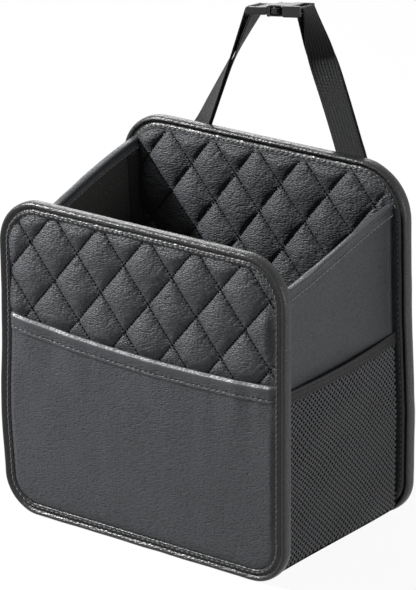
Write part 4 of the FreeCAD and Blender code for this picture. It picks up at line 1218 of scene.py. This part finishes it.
class ORGANIZER_OT_straps(bpy.types.Operator):
    """Weave the two straps, doubled through the buckle and sewn to the back"""

    bl_idname = "organizer.straps"
    bl_label = "Straps"

    def execute(self, context):
        lines = []
        for leg in STRAP_LEGS:
            ply = sizes().webbing_thickness
            root = np.array((leg.root, BACK_OUT + ply, BACK_TOP - leg.drop))
            lean = unit(np.array((leg.root - leg.crest, 0, -leg.drop)))
            flat = unit(np.cross((0, 1, 0), -lean))
            self.weave(leg, *self.ribbon(leg, root, lean, flat))
            lines += self.crossed_box(root + lean * (TAIL / 2), lean, flat)
        thread = {"pitch": 3.2 * MM, "radius": 0.36 * MM}
        stitches("strap_stitches", lines, "thread", slot="webbing", settled=False, **thread)
        return {"FINISHED"}

    def ribbon(self, leg, root, lean, flat):
        """Middle line of the webbing from one sewn end, over the bar, to the other end.

        Each of its points has the way across the webbing and the way out of its face.
        """
        ply = sizes().webbing_thickness
        crest = np.array((leg.crest, BACK_OUT + leg.stand, BACK_TOP))
        crest_across = turned(leg.turn, 2)[:, 0]
        bar_across = BUCKLE_AXES[:, 1] * leg.end
        stops = np.array((root + lean * TAIL, root, crest, bar_place(leg.end)))
        run = run_length(stops)
        at = np.linspace(0, run[-1], 100)
        line = at_run(stops, run, at)
        across = at_run(np.array((flat, flat, crest_across, bar_across)), run, at)
        part = np.clip((at - run[2]) / (run[3] - run[2]), 0, 1)[:, None]
        way_round = part ** leg.late
        across = np.where(part > 0, crest_across * (1 - way_round) + bar_across * way_round, across)
        line[:, 0] += leg.end * leg.swing * np.sin(part[:, 0] * np.pi)

        # Ease the bends at the root and the crest, and leave the ends where they are
        eased = ease(at, run[1] - 8 * MM, run[1]) * (1 - ease(at, run[2] + 8 * MM, run[2] + 16 * MM))
        line = line + (smoothed(line) - line) * eased[:, None]
        across = across + (smoothed(across) - across) * eased[:, None]
        # Pulled taut, the webbing keeps its edges nearly straight and cups between them
        narrow = 1 - (1 - np.linalg.norm(across, axis=1, keepdims=True)) * leg.cup
        # Square to its own run, except at the bar, which it lies along
        across, along = unit(across), unit(np.gradient(line, axis=0))
        across = unit(across - along * (across * along).sum(1, keepdims=True) * (1 - part ** 3))
        normal = unit(np.cross(along, across))

        # Two plies, and the loop round the bar between them
        gap = np.interp(at, run[:3], (0, 0, SLACK))[:, None] + (LOOP_RADIUS * 2 - SLACK) * part ** 3.6
        off = normal * (gap + ply) / 2
        arc = np.linspace(0, np.pi, 18)[1:-1, None]
        out = normal[-1] * np.cos(arc) + np.cross(across[-1], normal[-1]) * np.sin(arc)
        loop = line[-1] + out * (LOOP_RADIUS + ply / 2)
        centre = np.concatenate([line + off, loop, (line - off)[::-1]])
        edges = across * narrow
        edges = np.concatenate([edges, np.repeat(across[-1:], len(arc), 0), edges[::-1]])
        return centre, edges, np.concatenate([normal, out, -normal[::-1]])

    def crossed_box(self, middle, lean, flat):
        """Stitch lines of a box on a sewn end, with a cross in it."""
        s = sizes()
        wide, tall = flat * (s.webbing_width / 2 - STITCH_INSET), lean * (TAIL / 2 - STITCH_INSET)
        middle = middle + (0, s.webbing_thickness + 0.15 * MM, 0)
        a, b, c, d = (middle + wide * i + tall * j for i, j in ((-1, -1), (1, -1), (1, 1), (-1, 1)))
        share = np.linspace(0, 1, 40)[:, None]
        pairs = (a, b), (b, c), (c, d), (d, a), (a, c), (b, d)
        return [(start * (1 - share) + stop * share, (0, 1, 0)) for start, stop in pairs]

    def weave(self, leg, centre, across, normal):
        """Ribbed webbing along its middle line; the left one rides on no body, its place baked into its mesh.
        """
        s = sizes()
        half, ply = s.webbing_width / 2, s.webbing_thickness
        u = np.linspace(-1, 1, 6 * s.webbing_ribs + 1)
        rib = np.abs(np.sin((u + 1) / 2 * s.webbing_ribs * np.pi)) ** 0.7
        edge = np.sqrt(np.clip(1 - np.maximum(0, (np.abs(u) - 0.955) / 0.045) ** 2, 0, 1))
        thick = (ply / 2) * (0.6 + 0.4 * rib) * (0.25 + 0.75 * edge)
        wide, deep = np.concatenate([u, u[::-1]]) * half, np.concatenate([thick, -thick[::-1]])
        points = centre[:, None, :] + across[:, None, :] * wide[:, None] + normal[:, None, :] * deep[:, None]
        rows, cols = points.shape[:2]
        uv = np.stack(np.meshgrid(wide, run_length(centre)), -1)
        faces = quads(rows, cols, wrap=True)
        faces += [list(range(cols)), list(range((rows - 1) * cols, rows * cols))]
        bends = leg.side == "left"
        piece = new_piece(
            f"{leg.side}_webbing", points, faces, "webbing", body=None if bends else BODY, uv=uv,
            stands_for=(f"{leg.side}_strap",), settled=False,
        )
        if bends:
            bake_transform(piece)


class ORGANIZER_OT_buckle(bpy.types.Operator):
    """Mould the buckle: the frame's plain blocks with their edges rounded off"""

    bl_idname = "organizer.buckle"
    bl_label = "Buckle"

    def execute(self, context):
        for name, body in (("socket", BODY), ("plug", PLUG), ("near_prong", PLUG), ("far_prong", PLUG)):
            node = f"buckle_{name}"
            points, faces = self.moulding(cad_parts[node].data)
            own = (points - BUCKLE_MIDDLE) @ BUCKLE_AXES * BUCKLE_TRIM
            placed = own @ BUCKLE_AXES.T + BUCKLE_MIDDLE + BUCKLE_DROP
            new_piece(name, placed, faces, "plastic", body=body, stands_for=(node,), settled=False)
        return {"FINISHED"}

    def moulding(self, block):
        """Points and faces of a block with soft edges, as a mould gives them."""
        work = bmesh.new()
        work.from_mesh(block)
        bmesh.ops.remove_doubles(work, verts=work.verts, dist=0.01 * MM)
        mesh = bpy.data.meshes.new("moulding")
        work.to_mesh(mesh)
        work.free()
        rough = bpy.data.objects.new("moulding", mesh)
        bpy.context.scene.collection.objects.link(rough)
        remesh = rough.modifiers.new("Even faces", "REMESH")
        remesh.mode = "VOXEL"
        remesh.voxel_size = 0.45 * MM
        soften = rough.modifiers.new("Soft edges", "SMOOTH")
        soften.factor = 0.5
        soften.iterations = 5
        made = rough.evaluated_get(bpy.context.evaluated_depsgraph_get()).to_mesh()
        points = np.zeros(len(made.vertices) * 3)
        made.vertices.foreach_get("co", points)
        faces = [list(f.vertices) for f in made.polygons]
        bpy.data.objects.remove(rough)
        bpy.data.meshes.remove(mesh)
        return points.reshape(-1, 3), faces


# Stage

# Name, place, aim, power in watts and width of each lamp
LAMPS = (
    ("key", (-0.93, -0.50, 0.98), (0.0, 0.0, 0.15), 38.0, 0.10),
    ("rim", (-1.0, 1.2, 0.95), (0.0, 0.0, 0.2), 8.0, 0.7),
    ("side", (2.0, 0.15, 0.35), (0.0, 0.0, 0.12), 17.5, 0.9),
)
WHITE = (1, 1, 1, 1)
FLOOR_REACH = 6
FLOOR_GLOW = 0.94
FLOOR_BOUNCE = 0.45
SKY_LIGHT = 0.085


def seen_rays(tree):
    """Whether a ray comes from the camera, and whether it does or is mirrored or let through on its way."""
    rays = add_node(tree, "ShaderNodeLightPath").outputs
    camera = rays["Is Camera Ray"]
    onward = maths(tree, "MAXIMUM", rays["Is Glossy Ray"], rays["Is Transmission Ray"])
    return camera, maths(tree, "MAXIMUM", camera, onward)


class ORGANIZER_OT_stage(bpy.types.Operator):
    """Set up the floor, the lights and the camera"""

    bl_idname = "organizer.stage"
    bl_label = "Floor, lights and camera"

    def execute(self, context):
        context.scene.view_settings.view_transform = "Standard"
        self.floor(context.scene.organizer_stage.floor)
        self.sky(context.scene)
        for lamp in LAMPS:
            self.lamp(*lamp)
        self.camera(context.scene)
        return {"FINISHED"}

    def hold(self, name, data, place, way, roll=0.0):
        """Put a lamp or a camera at a place, looking a given way."""
        holder = bpy.data.objects.new(name, data)
        bpy.context.scene.collection.objects.link(holder)
        holder.location = place
        holder.rotation_mode = "QUATERNION"
        holder.rotation_quaternion = way.to_track_quat("-Z", "Y") @ Quaternion((0, 0, 1), roll)
        return holder

    def floor(self, tint):
        """A pale floor that keeps the shadow and otherwise meets the white backdrop."""
        mesh = bpy.data.meshes.new("floor")
        corners = [(FLOOR_REACH * i, FLOOR_REACH * j, 0) for i, j in ((-1, -1), (1, -1), (1, 1), (-1, 1))]
        mesh.from_pydata(corners, [], [(0, 1, 2, 3)])
        piece = bpy.data.objects.new("floor", mesh)
        bpy.context.scene.collection.objects.link(piece)
        made, tree, shader = new_material("Pale floor", Roughness=0.9)
        camera, seen = seen_rays(tree)
        feed(tree, shader.inputs["Base Color"], tones(tree, camera, tint, FLOOR_BOUNCE, 1.0))
        glow = add_node(tree, "ShaderNodeEmission", {"Color": WHITE, "Strength": 1.0}).outputs[0]
        share = maths(tree, "MULTIPLY", seen, FLOOR_GLOW)
        mix = add_node(tree, "ShaderNodeMixShader", {0: share, 1: shader.outputs[0], 2: glow})
        tree.links.new(mix.outputs[0], tree.nodes["Material Output"].inputs["Surface"])
        mesh.materials.append(made)

    def sky(self, scene):
        """A white backdrop that gives little light."""
        scene.world = bpy.data.worlds.new("studio")
        scene.world.use_nodes = True
        tree = scene.world.node_tree
        shader = tree.nodes["Background"]
        shader.inputs["Color"].default_value = WHITE
        _, seen = seen_rays(tree)
        tree.links.new(from_range(tree, seen, 0.0, 1.0, SKY_LIGHT, 1.0), shader.inputs["Strength"])

    def lamp(self, name, place, aim, power, width):
        light = bpy.data.lights.new(name, "AREA")
        light.energy = power
        light.shape = "DISK"
        light.size = width
        self.hold(name, light, place, Vector(aim) - Vector(place))

    def camera(self, scene):
        stage = scene.organizer_stage
        camera = bpy.data.cameras.new("camera")
        camera.lens = stage.lens
        camera.sensor_width = 36
        camera.clip_end = 50
        a, e = stage.azimuth, stage.elevation
        back = Vector((math.sin(a) * math.cos(e), -math.cos(a) * math.cos(e), math.sin(e)))
        place = Vector(stage.target) + back * stage.distance
        scene.camera = self.hold("camera", camera, place, -back, stage.roll)


# Add-on

PIECES = (
    ORGANIZER_OT_quilts, ORGANIZER_OT_slip_pocket, ORGANIZER_OT_bindings, ORGANIZER_OT_linings,
    ORGANIZER_OT_gussets, ORGANIZER_OT_net_pockets, ORGANIZER_OT_straps, ORGANIZER_OT_buckle,
    ORGANIZER_OT_stage,
)
GROUPS = {
    "organizer_sizes": OrganizerSizes, "organizer_finish": OrganizerFinish, "organizer_stage": OrganizerStage,
}


class ORGANIZER_PT_sidebar(bpy.types.Panel):
    """Buttons for the pieces, and the sizes, colours and stage"""

    bl_idname = "ORGANIZER_PT_sidebar"
    bl_label = "Backseat Organizer"
    bl_space_type = "VIEW_3D"
    bl_region_type = "UI"
    bl_category = "Organizer"

    def draw(self, context):
        column = self.layout.column(align=True)
        for piece in PIECES:
            column.operator(piece.bl_idname)
        for name in GROUPS:
            group, box = getattr(context.scene, name), self.layout.box()
            for value in group.__annotations__:
                box.prop(group, value)


def register():
    for made in (*GROUPS.values(), *PIECES, ORGANIZER_PT_sidebar):
        bpy.utils.register_class(made)
    for name, group in GROUPS.items():
        setattr(bpy.types.Scene, name, PointerProperty(type=group))


def unregister():
    for name in GROUPS:
        delattr(bpy.types.Scene, name)
    for made in reversed((*GROUPS.values(), *PIECES, ORGANIZER_PT_sidebar)):
        bpy.utils.unregister_class(made)


def main():
    register()
    for piece in PIECES:
        group, name = piece.bl_idname.split(".")
        getattr(getattr(bpy.ops, group), name)()


if __name__ == "__main__":
    main()
